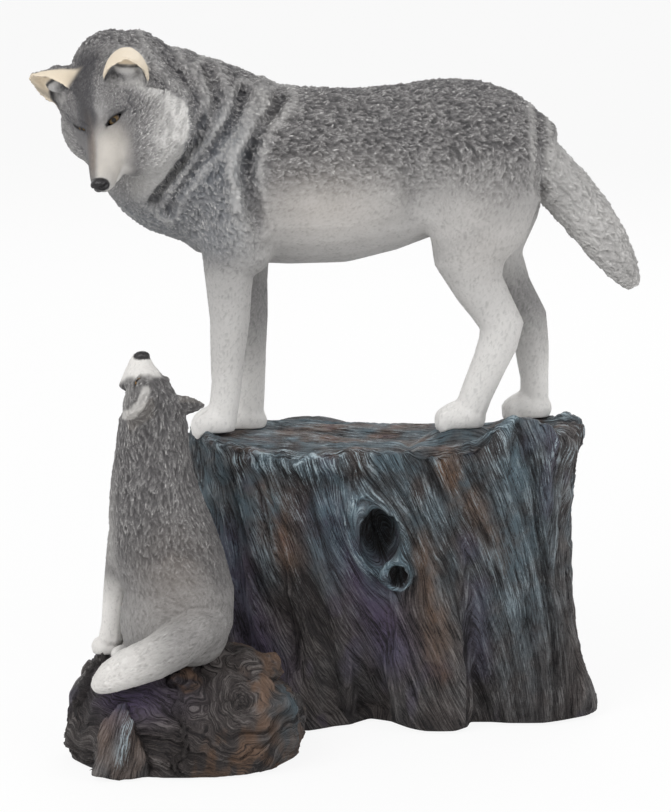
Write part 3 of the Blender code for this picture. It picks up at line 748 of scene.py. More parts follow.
class Effects:
    """The shared effects, each built once."""

    lie = dict.fromkeys(("Across", "Along", "Scale"), "NodeSocketFloat")

    def __init__(self) -> None:
        """Builds them all."""
        self.strands = self.build_strands()
        self.bark = self.build_bark()
        self.mottle = self.build_mottle()

    def build_strands(self) -> bpy.types.NodeTree:
        """Fine hairs that follow each lock, from the place across it and along it."""
        tree, w, start, end = new_group("fine_strands", self.lie, {"Strands": "NodeSocketFloat"})
        noise = w.noise(w.grooves(start, 0.17), start.outputs["Scale"], 1.5, 0.6)
        w.feed(end, {"Strands": w.span(noise, 0.3, 0.7)})
        return tree

    def build_bark(self) -> bpy.types.NodeTree:
        """Fibres and cracks of weathered wood from a place across the grain and a place along it."""
        outs = {"Fibre": "NodeSocketFloat", "Crack": "NodeSocketFloat"}
        tree, w, start, end = new_group("wood_grooves", self.lie, outs)
        place = w.grooves(start, 0.075)
        fibre = w.noise(place, start.outputs["Scale"], 3.0, 0.62)
        wide = w.noise(place, w.product(start.outputs["Scale"], 0.36), 2.0, 0.5)
        away = w.math("ABSOLUTE", w.math("SUBTRACT", wide, 0.5))
        w.feed(end, {"Fibre": w.span(fibre, 0.28, 0.72), "Crack": w.span(away, 0.045, 0.0)})
        return tree

    def build_mottle(self) -> bpy.types.NodeTree:
        """Uneven washes of paint: a soft one and a speckled one."""
        kinds = {"Place": "NodeSocketVector", "Scale": "NodeSocketFloat"}
        outs = {"Soft": "NodeSocketFloat", "Speckle": "NodeSocketFloat"}
        tree, w, start, end = new_group("paint_mottle", kinds, outs)
        place, scale = start.outputs["Place"], start.outputs["Scale"]
        soft = w.noise(place, scale, 3.0, 0.5, "3D")
        speckle = w.noise(place, w.product(scale, 13.0), 4.0, 0.75, "3D")
        w.feed(end, {"Soft": soft, "Speckle": speckle})
        return tree


def new_material(name: str) -> tuple:
    """A material with its wiring and its shader."""
    material = bpy.data.materials.new(name)
    material.use_nodes = True
    return material, Wiring(material.node_tree), material.node_tree.nodes["Principled BSDF"]


@dataclass(frozen=True)
class FurFinish:
    """The paint of a wolf: washes from recess to tip, then the marks of its face and legs.

    Attributes:
        recess: between the locks, as coat is on them and tip on their ends.
        pale: on legs, cheeks and tail, and as a painted highlight on the folds' shoulders, as cream is on the
            ears' backs.
        shade: dark paint on the face, and painted shade in the folds, round the eyes, at the mouth's corners,
            under the ruff's edge and on the far legs, as cool is on the chest and tan on the belly.
        strand_scale: how fine the painted hairs are.
    """

    name: str
    recess: tuple
    coat: tuple
    tip: tuple
    pale: tuple
    shade: tuple
    cream: tuple
    black: tuple
    cool: tuple
    tan: tuple
    strand_scale: float = 2.3

    def make(self, effects: Effects) -> bpy.types.Material:
        """Builds the material from the masks that were noted on the skin.

        Args:
            effects: the shared effects of the paint.

        Returns:
            The material.
        """
        material, w, shader = new_material(self.name)
        place = w.add("ShaderNodeTexCoord", {}).outputs["Object"]
        lock_place = {"Across": w.mask("lock_across"), "Along": w.mask("lock_along")}
        fine = w.group(effects.strands, {**lock_place, "Scale": self.strand_scale}).outputs[0]
        mottle = w.group(effects.mottle, {"Place": place, "Scale": 90.0})
        coarse = w.mask("coarse")
        hairs = w.product(w.math("SUBTRACT", fine, 0.5), w.span(coarse, 0.0, 1.0, (0.22, 0.62)))
        height = w.math("ADD", w.mask("relief"), hairs)
        colour = w.mix(w.span(height, 0.0, 0.5), self.recess, self.coat)
        colour = w.mix(w.product(w.mask("cool"), 0.8), colour, self.cool)
        colour = w.mix(w.product(w.mask("tan"), w.span(fine, 0.0, 0.8, (0.5, 1.0))), colour, self.tan)
        soft_pale = w.product(w.mask("pale"), w.span(height, -0.1, 0.6, (0.78, 1.0)))
        colour = w.mix(soft_pale, colour, self.pale)
        in_shade = w.product(w.mask("shade"), w.span(height, 1.0, 0.3, (0.55, 1.0)))
        colour = w.mix(in_shade, colour, self.shade)
        tips = w.product(w.span(height, 0.52, 0.92), w.mask("tips"))
        colour = w.mix(tips, colour, self.tip)
        creamy = w.product(w.mask("cream"), w.span(fine, 0.0, 0.6, (0.86, 1.0)))
        colour = w.mix(creamy, colour, self.cream)
        colour = w.mix(w.mask("black"), colour, self.black)
        washes = w.mix(mottle.outputs["Soft"], srgb(60, 60, 62), srgb(255, 255, 255))
        wash = w.add(
            "ShaderNodeMix", {0: 0.08, 6: colour, 7: washes}, data_type="RGBA", blend_type="OVERLAY"
        ).outputs[2]
        gloss = w.span(w.mask("nose"), 0.2, 0.9, (0.62, 0.28))
        bare = w.span(w.math("MAXIMUM", w.mask("nose"), w.mask("cream")), 0.1, 0.6, (1.0, 0.15))
        rise = w.product(w.product(fine, bare), w.span(coarse, 0.0, 1.0, (0.25, 1.0)))
        bump = w.bump(rise, 0.6, 0.0003)
        w.feed(shader, {"Base Color": wash, "Roughness": gloss, "Specular IOR Level": 0.35, "Normal": bump})
        return material


@dataclass(frozen=True)
class BarkFinish:
    """The paint of the base: a dark wash, then dry-brushed blue, purple and copper.

    Attributes:
        deep: in cracks, as wood is on the fibres and worn on their crests.
        frost: on splintered edges.
        fibre_scale: how fine the painted fibres are.
    """

    name: str = Slot.BARK.value
    deep: tuple = srgb(40, 37, 38)
    wood: tuple = srgb(82, 75, 73)
    worn: tuple = srgb(140, 134, 131)
    blue: tuple = srgb(98, 120, 131)
    frost: tuple = srgb(182, 198, 206)
    purple: tuple = srgb(84, 72, 104)
    copper: tuple = srgb(136, 104, 80)
    fibre_scale: float = 2.0

    def make(self, effects: Effects) -> bpy.types.Material:
        """Builds the material from the grain and masks that were noted on the skin.

        Args:
            effects: the shared effects of the paint.

        Returns:
            The material.
        """
        material, w, shader = new_material(self.name)
        place = w.add("ShaderNodeTexCoord", {}).outputs["Object"]
        ways = []
        for across, along in (("grain_x", "grain_z"), ("grain_y", "grain_z"), ("grain_top", "grain_end")):
            inputs = {"Across": w.mask(across), "Along": w.mask(along), "Scale": self.fibre_scale}
            ways.append(w.group(effects.bark, inputs))
        end, top = w.mask("end_face"), w.mask("top_face")
        pair = []
        for output in ("Fibre", "Crack"):
            front, side, above = (way.outputs[output] for way in ways)
            round_it = w.add("ShaderNodeMix", {0: end, 2: front, 3: side}, data_type="FLOAT").outputs[0]
            pair.append(w.add("ShaderNodeMix", {0: top, 2: round_it, 3: above}, data_type="FLOAT").outputs[0])
        fibre, crack = pair
        mottle = w.group(effects.mottle, {"Place": place, "Scale": 110.0})
        speckle = w.math("SUBTRACT", mottle.outputs["Speckle"], 0.5)
        height = w.math("ADD", w.product(w.mask("relief"), 0.6), w.product(fibre, 0.56))
        height = w.math("SUBTRACT", height, w.product(crack, 0.3))
        height = w.math("ADD", height, w.product(speckle, 0.8))
        colour = w.mix(w.span(height, 0.12, 0.55), self.deep, self.wood)
        colour = w.mix(w.product(w.span(height, 0.55, 0.95), 0.6), colour, self.worn)
        raised = w.span(height, 0.1, 0.6, (0.15, 1.0))
        patchy = w.span(mottle.outputs["Soft"], 0.3, 0.62, (0.35, 1.0))
        for name, strength in (("purple", 0.85), ("copper", 0.9), ("blue", patchy)):
            share = w.product(w.product(w.mask(name), raised), strength)
            colour = w.mix(share, colour, getattr(self, name))
        share = w.product(w.mask("frost"), w.span(height, 0.52, 0.88))
        colour = w.mix(share, colour, self.frost)
        sunk = w.span(height, 0.9, 0.3, (0.6, 1.0))
        colour = w.mix(w.product(w.mask("dark"), sunk), colour, self.deep)
        gloss = w.span(height, 0.1, 0.9, (0.78, 0.56))
        rise = w.math("SUBTRACT", w.product(fibre, 0.8), w.product(crack, 0.8))
        rise = w.math("ADD", rise, w.product(speckle, 0.9))
        bump = w.bump(rise, 0.9, 0.0009)
        w.feed(shader, {"Base Color": colour, "Roughness": gloss, "Specular IOR Level": 0.35, "Normal": bump})
        return material


@dataclass(frozen=True)
class EyeFinish:
    """A glossy painted eye: a dark pupil, an amber iris and a dark edge."""

    name: str
    iris: tuple
    pupil_deg: float = 13.0
    iris_deg: float = 34.0

    def make(self) -> bpy.types.Material:
        """Builds the material from the angle that each point makes with the gaze."""
        material, w, shader = new_material(self.name)
        angle = w.mask("from_gaze")
        black = srgb(20, 18, 18)
        colour = w.mix(w.span(angle, self.pupil_deg, self.pupil_deg + 4), black, self.iris)
        colour = w.mix(w.span(angle, self.iris_deg - 8, self.iris_deg), colour, srgb(60, 42, 24))
        colour = w.mix(w.span(angle, self.iris_deg, self.iris_deg + 6), colour, black)
        w.feed(shader, {"Base Color": colour, "Roughness": 0.22, "Specular IOR Level": 0.3})
        return material


# The castings


class Casting:
    """What the three castings share."""

    node: str = ""
    slot: Slot = Slot.BARK

    def hand_over(self, piece: bpy.types.Object) -> None:
        """Hides the solid that a finished piece stands for, hangs the piece on the root body and logs its
        triangles.

        Args:
            piece: the finished piece.
        """
        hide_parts(self.node)
        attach(piece, "root")
        piece.data.calc_loop_triangles()
        LOG.info("%s: %d triangles", piece.name, len(piece.data.loop_triangles))

    def eye_pair(self, name: str, eyes: list, gaze: tuple, finish: EyeFinish) -> None:
        """Sets two glossy balls into the sockets.

        Args:
            name: the piece's name.
            eyes: for each eye, its centre in millimetres, its outward direction and its radius.
            gaze: how much the gaze turns from the outward direction, as a direction that is added.
            finish: the eyes' paint.
        """
        shape = bmesh.new()
        angles = []
        for centre, outward, radius in eyes:
            look = Vector(outward) + Vector(gaze)
            for vert in ball(shape, centre, radius):
                angles.append(math.degrees((vert.co - Vector(centre)).angle(look)))
        bmesh.ops.scale(shape, vec=(MM, MM, MM), verts=shape.verts)
        piece = new_object(name, shape)
        piece.data.shade_smooth()
        kept = piece.data.attributes.new("from_gaze", "FLOAT", "POINT")
        kept.data.foreach_set("value", angles)
        piece.data.materials.append(finish.make())
        self.hand_over(piece)


def blend_into(way: Array, direction: object, weight: Array) -> Array:
    """Turns a flow towards a direction where the weight says so."""
    target = np.broadcast_to(np.array(direction, float), way.shape)
    return way + weight[:, None] * (unit(target) - way)


FUR_MASKS = ("pale", "shade", "cream", "black", "cool", "tan", "nose", "tips", "coarse")


@dataclass
class AdultWolf(Casting):
    """The standing adult: its folds, its coat, its face and its paint.

    Attributes:
        back_lock: the length, width and height of a lock, as for the three that follow.
        ruff_x: where the cheek's ruff ends, at the heights in ruff_z.
    """

    node: str = "adult_wolf"
    slot: Slot = Slot.ADULT_FUR
    grain: float = 0.575
    back_lock: tuple = (3.6, 1.25, 1.8)
    short_lock: tuple = (2.3, 0.8, 0.12)
    tail_lock: tuple = (5.4, 1.25, 1.6)
    ruff_lock: tuple = (5.5, 1.1, 1.3)
    tail_root: tuple = (49.0, 0.0, 204.5)
    tail_way: tuple = (0.62, 0.0, -0.785)
    stump_top: float = 102.0
    ruff_x: tuple = (-86.0, -83.7, -79.2, -73.2, -68.9, -68.2, -69.5, -74.7, -83.0)
    ruff_z: tuple = (184.0, 188.2, 193.4, 201.4, 211.2, 215.7, 223.0, 226.8, 228.9)

    def head(self) -> Head:
        """The adult's head."""
        return Head(
            origin=(-98.0, -27.7, 215.7),
            forward=(-0.05, -0.57, -0.82),
            up=(-0.52, -0.68, 0.51),
            size=1.0,
            muzzle=24.5,
            ears=(
                ((-8.6, -13.3, 7.0), (-14.4, -21.1, 17.6)),
                ((-8.6, 13.3, 7.0), (-10.8, 20.2, 16.4)),
            ),
            ear_half_width=8.0,
            ear_cup=17.0,
            ear_opening=(0.97, 0.16, 0.16),
            eye_open=(0.4, 0.86),
            eye_slit=(-2.1, 4.0, 0.0),
        )

    def folds(self) -> tuple:
        """The coat's folds on a flank: a line of x and z, half its width, and its height."""
        neck_top = ((-62.7, 233.0), (-58.6, 224.0), (-62.1, 214.2))
        neck_middle = ((-49.9, 225.0), (-53.1, 216.0), (-59.0, 209.0))
        shoulder_top = ((-44.0, 226.4), (-41.6, 220.5), (-47.9, 211.4))
        return (
            (((-82.3, 246.3), (-74.4, 234.9), (-66.8, 227.2), (-64.5, 215.3)), 3.0, -1.7),
            ((*neck_top, (-68.1, 206.9), (-74.5, 198.5), (-81.9, 188.3)), 3.2, -2.1),
            ((*neck_middle, (-66.8, 200.6), (-72.8, 192.2), (-76.7, 183.8)), 3.0, -1.9),
            ((*shoulder_top, (-53.2, 205.2), (-53.9, 197.8), (-51.5, 185.5)), 3.2, 1.7),
            (((-37.1, 222.6), (-44.1, 214.9), (-47.9, 205.2), (-48.4, 196.1), (-44.9, 178.5)), 3.6, -1.9),
            (((-0.2, 213.7), (10.2, 207.4), (8.2, 196.9), (8.3, 181.0)), 6.0, -0.8),
            (((54.1, 218.3), (54.5, 207.8), (54.7, 190.1)), 2.6, -1.2),
        )

    def build(self, effects: Effects) -> None:
        """Makes the adult's pieces.

        Args:
            effects: the shared effects of the paint.
        """
        head = self.head()
        shape = merged_copy(self.node)
        head.fill_ears(shape, 4.8, 6.5)
        skin = Skin("adult_work", shape)
        skin.fuse(self.grain, 5)
        local = head.local(skin.points())
        face = (local[:, 0] > -12) & (np.linalg.norm(local, axis=1) < 33)
        skin.refine(face)
        face_masks = head.carve_face(skin)
        self.press_folds(skin)
        self.part_toes(skin)
        masks = self.masks(skin, head, face_masks)
        self.comb(skin, head, masks)
        skin.note({name: masks[name] for name in FUR_MASKS})
        finish = FurFinish(
            name=self.slot.value,
            recess=srgb(76, 75, 76),
            coat=srgb(117, 115, 115),
            tip=srgb(206, 204, 202),
            pale=srgb(240, 238, 235),
            shade=srgb(72, 71, 75),
            cream=srgb(226, 212, 190),
            black=srgb(30, 28, 30),
            cool=srgb(108, 116, 126),
            tan=srgb(196, 176, 154),
        ).make(effects)
        neck = Vector((-1.0, -0.35, 0.25))
        collar = (Vector((-78.0, 0.0, 210.0)), neck)
        behind = (collar[0], -neck)
        chest, loin = Vector((-30.0, 0.0, 0.0)), Vector((14.0, 0.0, 0.0))
        for name, planes in (
            ("adult_head", [behind]),
            ("adult_forequarters", [collar, (chest, RIGHT)]),
            ("adult_barrel", [(chest, LEFT), (loin, RIGHT)]),
            ("adult_hindquarters", [(loin, LEFT)]),
        ):
            self.hand_over(skin.part(name, planes, finish))
        skin.discard()
        iris = EyeFinish("amber_eye", srgb(92, 74, 46))
        self.eye_pair("adult_eyes", face_masks["eyes"], (-0.1, -0.2, -0.12), iris)

    def fold_reach(self, points: Array, line: tuple) -> Array:
        """How far points are from a fold's line, with a little wander in it."""
        wander = 1.6 * (clouds(points, 5.0, 61, 2) - 0.5)
        return np.abs(line_distance(points[:, [0, 2]], line) + wander)

    def ruff_side(self, points: Array) -> Array:
        """How far points lie behind the edge of the cheek's ruff, below nothing where on the cheek."""
        ragged = 2.6 * (clouds(points, 3.2, 62, 2) - 0.5)
        return points[:, 0] - np.interp(points[:, 2], self.ruff_z, self.ruff_x) + ragged

    def ruff_near(self, points: Array, normals: Array) -> Array:
        """1 where the ruff's edge shows on the flank that is turned to the camera."""
        y, z = points[:, 1], points[:, 2]
        return fade(0.25, -0.15, normals[:, 1]) * fade(185, 190, z) * fade(230, 226, z) * fade(4, -2, y)

    def press_folds(self, skin: Skin) -> None:
        """Deepens the folds of the neck and the flank, and lifts the edge of the ruff.

        Args:
            skin: the casting's skin.
        """
        points, normals = skin.points(), skin.normals()
        facing = np.clip(np.abs(normals[:, 1]) * 2.5, 0, 1)
        height = np.zeros(len(points))
        for line, reach, rise in self.folds():
            far = self.fold_reach(points, line)
            valley = bell(far, 0.55 * reach)
            shoulder = bell(far - 1.25 * reach, 0.5 * reach)
            height += (valley - 0.35 * shoulder) * rise * facing
        behind = self.ruff_side(points)
        cheek = fade(0.7, -0.7, behind)
        ledge = 1.5 * cheek * bell(behind, 5.5) - 1.5 * (1 - cheek) * bell(behind, 3.4)
        height += ledge * self.ruff_near(points, normals)
        skin.raise_by(height)

    def part_toes(self, skin: Skin) -> None:
        """Parts the toes of each paw by grooves over its front.

        Args:
            skin: the casting's skin.
        """
        points = skin.points()
        step = np.zeros(len(points))
        for paw_x, flank, seat in ((-61.0, -1, 1.8), (-50.5, 1, -1.6), (27.0, -1, 3.6), (52.0, 1, 3.0)):
            floor = self.stump_top + seat
            for gap in (-1.0, 0.0, 1.0):
                y = flank * 11.0 + gap * 2.85
                groove = [(paw_x - back, y, floor + up) for back, up in ((10.5, 0.5), (7.5, 5.4), (3.6, 7.8))]
                step -= 0.75 * bell(line_distance(points, groove), 0.8)
        skin.raise_by(step)

    def masks(self, skin: Skin, head: Head, face: dict) -> dict:
        """Where each paint and each kind of fur goes, from 0 to 1 at every point.

        Args:
            skin: the casting's skin.
            head: the head and its frame.
            face: what carving the face gave: masks, eyes and the points in the head's frame.

        Returns:
            One mask for each paint and each kind of fur.
        """
        points, normals = skin.points(), skin.normals()
        x, y, z = points.T
        local = face["inside"]
        near_head = fade(48, 40, np.linalg.norm(points - np.array(head.origin), axis=1))
        behind = self.ruff_side(points)
        near_flank = fade(0.3, -0.1, normals[:, 1]) * fade(186, 190, z) * fade(4, -2, y)
        low_muzzle = fade(12, 9, off_muzzle(local))
        on_head = fade(-30, -21, local[:, 0]) * near_head * np.maximum(fade(180, 195, z), low_muzzle)
        on_head = on_head * (1 - near_flank * fade(-0.5, 1.2, behind))
        rel = points - np.array(self.tail_root)
        down_tail = rel @ np.array(self.tail_way)
        off_tail = np.linalg.norm(rel - down_tail[:, None] * np.array(self.tail_way), axis=1)
        tail = fade(0, 6, down_tail) * fade(15.0, 12.5, off_tail) * fade(47, 54, x)
        leg = fade(168, 150, z)
        back = fade(182, 205, z + 8 * (clouds(points, 10.0, 15) - 0.5))
        rough = uppermost(back, fade(-36, -50, x) * fade(158, 182, z), tail) * (1 - on_head)
        wander = clouds(points, 9.0, 5, 2)
        heights = (104.0, 115.0, 134.0, 152.0, 167.0, 178.0, 188.0, 198.0, 208.0)
        paleness = (0.99, 0.95, 0.78, 0.56, 0.44, 0.46, 0.34, 0.14, 0.0)
        pale = np.interp(z + 10 * (wander - 0.5), heights, paleness)
        pale = pale * (1 - 0.24 * fade(-20, -40, x) * fade(108, 132, z))
        chest = fade(-50, -58, x) * fade(158, 170, z)
        pale = pale * (1 - 0.6 * chest) * (1 - tail)
        # Painted shade on the far legs: less pale and darker there, partly the legs' paint and partly the shade
        # that falls on that side.
        far = fade(2, 6, y) * fade(118, 150, z) * leg
        pale = pale * (1 - 0.5 * far) + 0.5 * tail * (0.7 + 0.6 * wander)
        shade = 0.35 * far
        pale, shade = self.paint_folds(points, pale, shade)
        edge = self.ruff_near(points, normals)
        # Painted shade on the neck behind the ruff's raised edge.
        under_ruff_shade = 0.6 * edge * fade(0.2, 1.0, behind) * fade(4.5, 1.2, behind)
        # A faint painted shade along the front edge of the thigh.
        haunch = [(18.9, 170.1), (29.4, 175.4), (39.9, 182.5), (45.0, 191.3)]
        shade = uppermost(shade, under_ruff_shade, 0.3 * fade(219, 229, z), 0.16 * streak(points, haunch, 5.0))
        shade = shade * (1 - on_head)
        cool = fade(-38, -54, x) * fade(232, 208, z) * fade(160, 176, z)
        belly_tan = 0.3 * around(points, (-20, -22, 184), (22, 14, 13))
        belly_tan = belly_tan + 0.2 * around(points, (34, -14, 176), (14, 12, 16))
        masks = {
            "pale": pale * (1 - on_head),
            "shade": shade,
            "cool": 0.85 * cool * (1 - on_head) * (0.55 + 0.45 * wander),
            "tan": belly_tan,
            "tips": np.clip(0.2 + 0.8 * rough, 0, 1),
            "rough": rough,
            "on_head": on_head,
            "tail": tail,
            "leg": leg,
            "coarse": np.clip(rough + 0.12, 0, 1),
        }
        return self.face_paint(local, face, masks, np.where(near_flank > 0.3, behind, -20.0), z)

    def paint_folds(self, points: Array, pale: Array, shade: Array) -> tuple:
        """Paints shade into the folds' valleys and a highlight onto their shoulders and ridges: painted light
        and shade, partly also the coat's own dark wash and dry-brushing.

        Args:
            points: the skin's points.
            pale: the pale mask so far.
            shade: the shade mask so far.

        Returns:
            Both masks with the folds in them.
        """
        for line, reach, rise in self.folds():
            away = self.fold_reach(points, line)
            valley = bell(away, 0.5 * reach)
            shoulder = bell(away - 1.25 * reach, 0.5 * reach)
            if rise < -1.0:
                shade = np.maximum(shade, 0.5 * valley)
                pale = np.maximum(pale, 0.34 * shoulder)
            elif rise < 0:
                shade = np.maximum(shade, 0.22 * valley)
            else:
                pale = np.maximum(pale, 0.5 * bell(away, 0.8 * reach))
        return pale, shade

    def face_paint(self, local: Array, face: dict, masks: dict, behind: Array, z: Array) -> dict:
        """Adds the marks of the face to the masks.

        Args:
            local: the skin's points in the head's frame.
            face: what carving the face gave: masks, eyes and the points in the head's frame.
            masks: the masks so far.
            behind: how far points lie behind the edge of the ruff.
            z: the height of each point.

        Returns:
            The masks with the face in them.
        """
        lx, ly, lz = local.T
        on = masks["on_head"]
        side = np.abs(ly)
        both = np.stack((lx, side, lz), 1)
        wander = clouds(local, 4.0, 71, 2) - 0.5
        off_axis = off_muzzle(local)
        on_muzzle = fade(13.0, 6.0, off_axis + 0.14 * np.maximum(lx, 0) + 3.0 * wander)
        # The dark stripe and the dark line lie a little to the far side of the middle, where they partly paint
        # the shade on the forehead's far side.
        band = np.abs(ly + 2.4) + 1.6 * wander
        stripe = fade(5.5, 1.6, band - fade(-2, -14, lx)) * fade(-30, -20, lx)
        stripe = stripe * fade(9, -2, lx) * fade(0, 3, lz)
        bridge = fade(2.6, 0.4, np.abs(ly + 1.9)) * fade(-4, 3, lx) * fade(24, 15, lx) * fade(-2, 1.0, lz)
        # Painted shade on the face's far side; the muzzle's pale and the cream under the eye stay on the near
        # side.
        far_side_shade = fade(-0.5, -3.5, ly)
        brow = around(both, (-7, 3, 8), (8, 6, 7))
        temple = around(both, (-5, 13.5, 3.5), (6, 4, 5))
        # Painted shade behind the mouth's corner, where the jaw meets the ruff.
        corner = around(both, (3, 12, -7), (5, 4, 4))
        # Stripe, bridge, brow and temple are dark paint, the stripe partly also painted shade; corner and
        # socket add painted shade.
        dark = 0.95 * stripe + 0.5 * bridge + 0.5 * brow + 0.6 * temple + 0.4 * corner + 0.3 * face["socket"]
        dark += 0.3 * far_side_shade * fade(26, 16, lx)
        spot = around(local, (-2.0, 3.6, 6.0), (5.0, 2.6, 4.0))
        # The muzzle's pale stops at its middle, so that its far side keeps the painted shade.
        muzzle = fade(-1, 12, lx) * fade(-1.2, 1.6, ly) * on_muzzle
        under_eye = around(both, (5.5, 6.5, -0.5), (4.5, 3.0, 3.6))
        cheek = around(both, (-5, 17, -5), (11, 8, 10))
        chin = fade(-4.2, -6.5, lz) * fade(3, 10, lx) * on_muzzle
        throat = fade(11.0, 14.0, off_axis) * fade(-4, -12, lz)
        streaky = 0.4 + 0.6 * fade(0.3, 0.6, clouds(local, (5, 1.4, 1.4), 73))
        tufts = fade(-17, -4, behind) * fade(203, 212, z) * streaky
        low_ruff = fade(-12, -4, behind) * fade(210, 200, z)
        pale = 0.1 * cheek + 0.45 * chin + 0.25 * throat + 0.5 * spot
        pale = pale + 0.6 * tufts + 0.2 * low_ruff + 0.5 * muzzle
        pale = np.clip(pale, 0, 0.97) * (1 - 0.9 * np.clip(dark, 0, 1))
        masks["pale"] = np.maximum(masks["pale"], pale * on)
        masks["shade"] = np.maximum(masks["shade"], on * np.clip(dark, 0, 0.92))
        cream = 0.3 * muzzle * fade(26, 19, lx) * (1 - 0.8 * chin)
        cream = cream + 0.12 * under_eye * (1 - stripe) * (ly > 0)
        masks["cream"] = np.clip(np.maximum(face["cream"], cream * on), 0, 1)
        masks["tan"] = np.maximum(masks["tan"] * (1 - on), on * 0.5 * bridge)
        line = fade(2.2, 0.4, np.abs(ly + 2.5)) * fade(-14, -5, lx) * fade(12, 3, lx) * (lz > -1)
        marks = np.maximum(0.75 * face["rim"], on * np.maximum(0.3 * stripe, 0.42 * line))
        masks["black"], masks["nose"] = np.maximum(face["black"], marks), face["nose"]
        masks["pale"] = np.maximum(masks["pale"], face["hollow"] * 0.55 * (1 - face["tuft"]))
        off_ear = masks["shade"] * (1 - face["cream"]) * (1 - 0.8 * face["hollow"])
        masks["shade"] = np.maximum(off_ear, 0.75 * face["tuft"])
        head_tips = on * (0.2 + 0.5 * fade(9.0, 14.0, off_axis))
        masks["tips"] = np.maximum(masks["tips"], head_tips) * (1 - 0.75 * stripe * on)
        fine = np.maximum(face["cream"], face["hollow"] * 0.6)
        furred = np.maximum(fade(9.0, 14.0, off_axis), fade(-2, -10, lx))
        masks["coarse"] = np.clip(np.maximum(masks["coarse"], on * (0.2 + 0.8 * furred)) - fine, 0, 1)
        masks["muzzle"] = np.clip((1 - furred) * on + fine, 0, 1)
        return masks

    def comb(self, skin: Skin, head: Head, masks: dict) -> None:
        """Lays the locks of the coat and raises them.

        Args:
            skin: the casting's skin.
            head: the head and its frame.
            masks: where each kind of fur goes.
        """
        points, normals = skin.points(), skin.normals()
        x, _, z = points.T
        way = np.tile(np.array((1.0, 0.0, -0.25)), (len(points), 1))
        way = blend_into(way, (0.75, 0.0, -0.65), fade(206, 184, z))
        way = blend_into(way, (0.45, 0.0, -0.9), fade(-34, -52, x))
        way = blend_into(way, (0.3, 0.0, -0.95), fade(16, 30, x) * fade(214, 196, z))
        way = blend_into(way, (0.05, 0.0, -1.0), masks["leg"])
        outward = (0, 1, 0) * points * 0.06 + np.array(self.tail_way) + np.array((0.25, 0, 0.2))
        way = blend_into(way, outward, masks["tail"])
        from_nose = points - head.world([(24.0, 0.0, -2.0)])[0]
        way = blend_into(way, from_nose, masks["on_head"])
        local = head.local(points)
        below = fade(5, -1, local[:, 2] - 0.1 * np.abs(local[:, 1]))
        ruff = masks["on_head"] * fade(8, 14, off_muzzle(local)) * below
        crown = masks["on_head"] * fade(-2, -12, local[:, 0]) * fade(-2, 5, local[:, 2]) * (1 - ruff)
        quiet = np.clip(1 - masks["muzzle"] - masks["nose"], 0, 1)
        sizes = []
        for short, back, tail, tuft in zip(self.short_lock, self.back_lock, self.tail_lock, self.ruff_lock):
            size = short + masks["rough"] * (back - short)
            size += masks["tail"] * (tail - size)
            size += ruff * quiet * (tuft - size)
            size += 0.45 * crown * quiet * (back - size)
            sizes.append(size)
        seat = fade(self.stump_top + 10, self.stump_top + 18, z)
        bare = np.clip(masks["muzzle"] * 0.6 + masks["nose"] + masks["black"], 0, 1)
        relief, place_across, place_along = Coat(way, *sizes, self.grain, 11).comb(points, normals)
        skin.raise_by((relief - 0.45) * sizes[2] * (1 - bare) * (0.25 + 0.75 * seat))
        kept = relief * (1 - 0.5 * bare) + 0.25 * bare
        skin.note({"relief": kept, "lock_across": place_across, "lock_along": place_along})


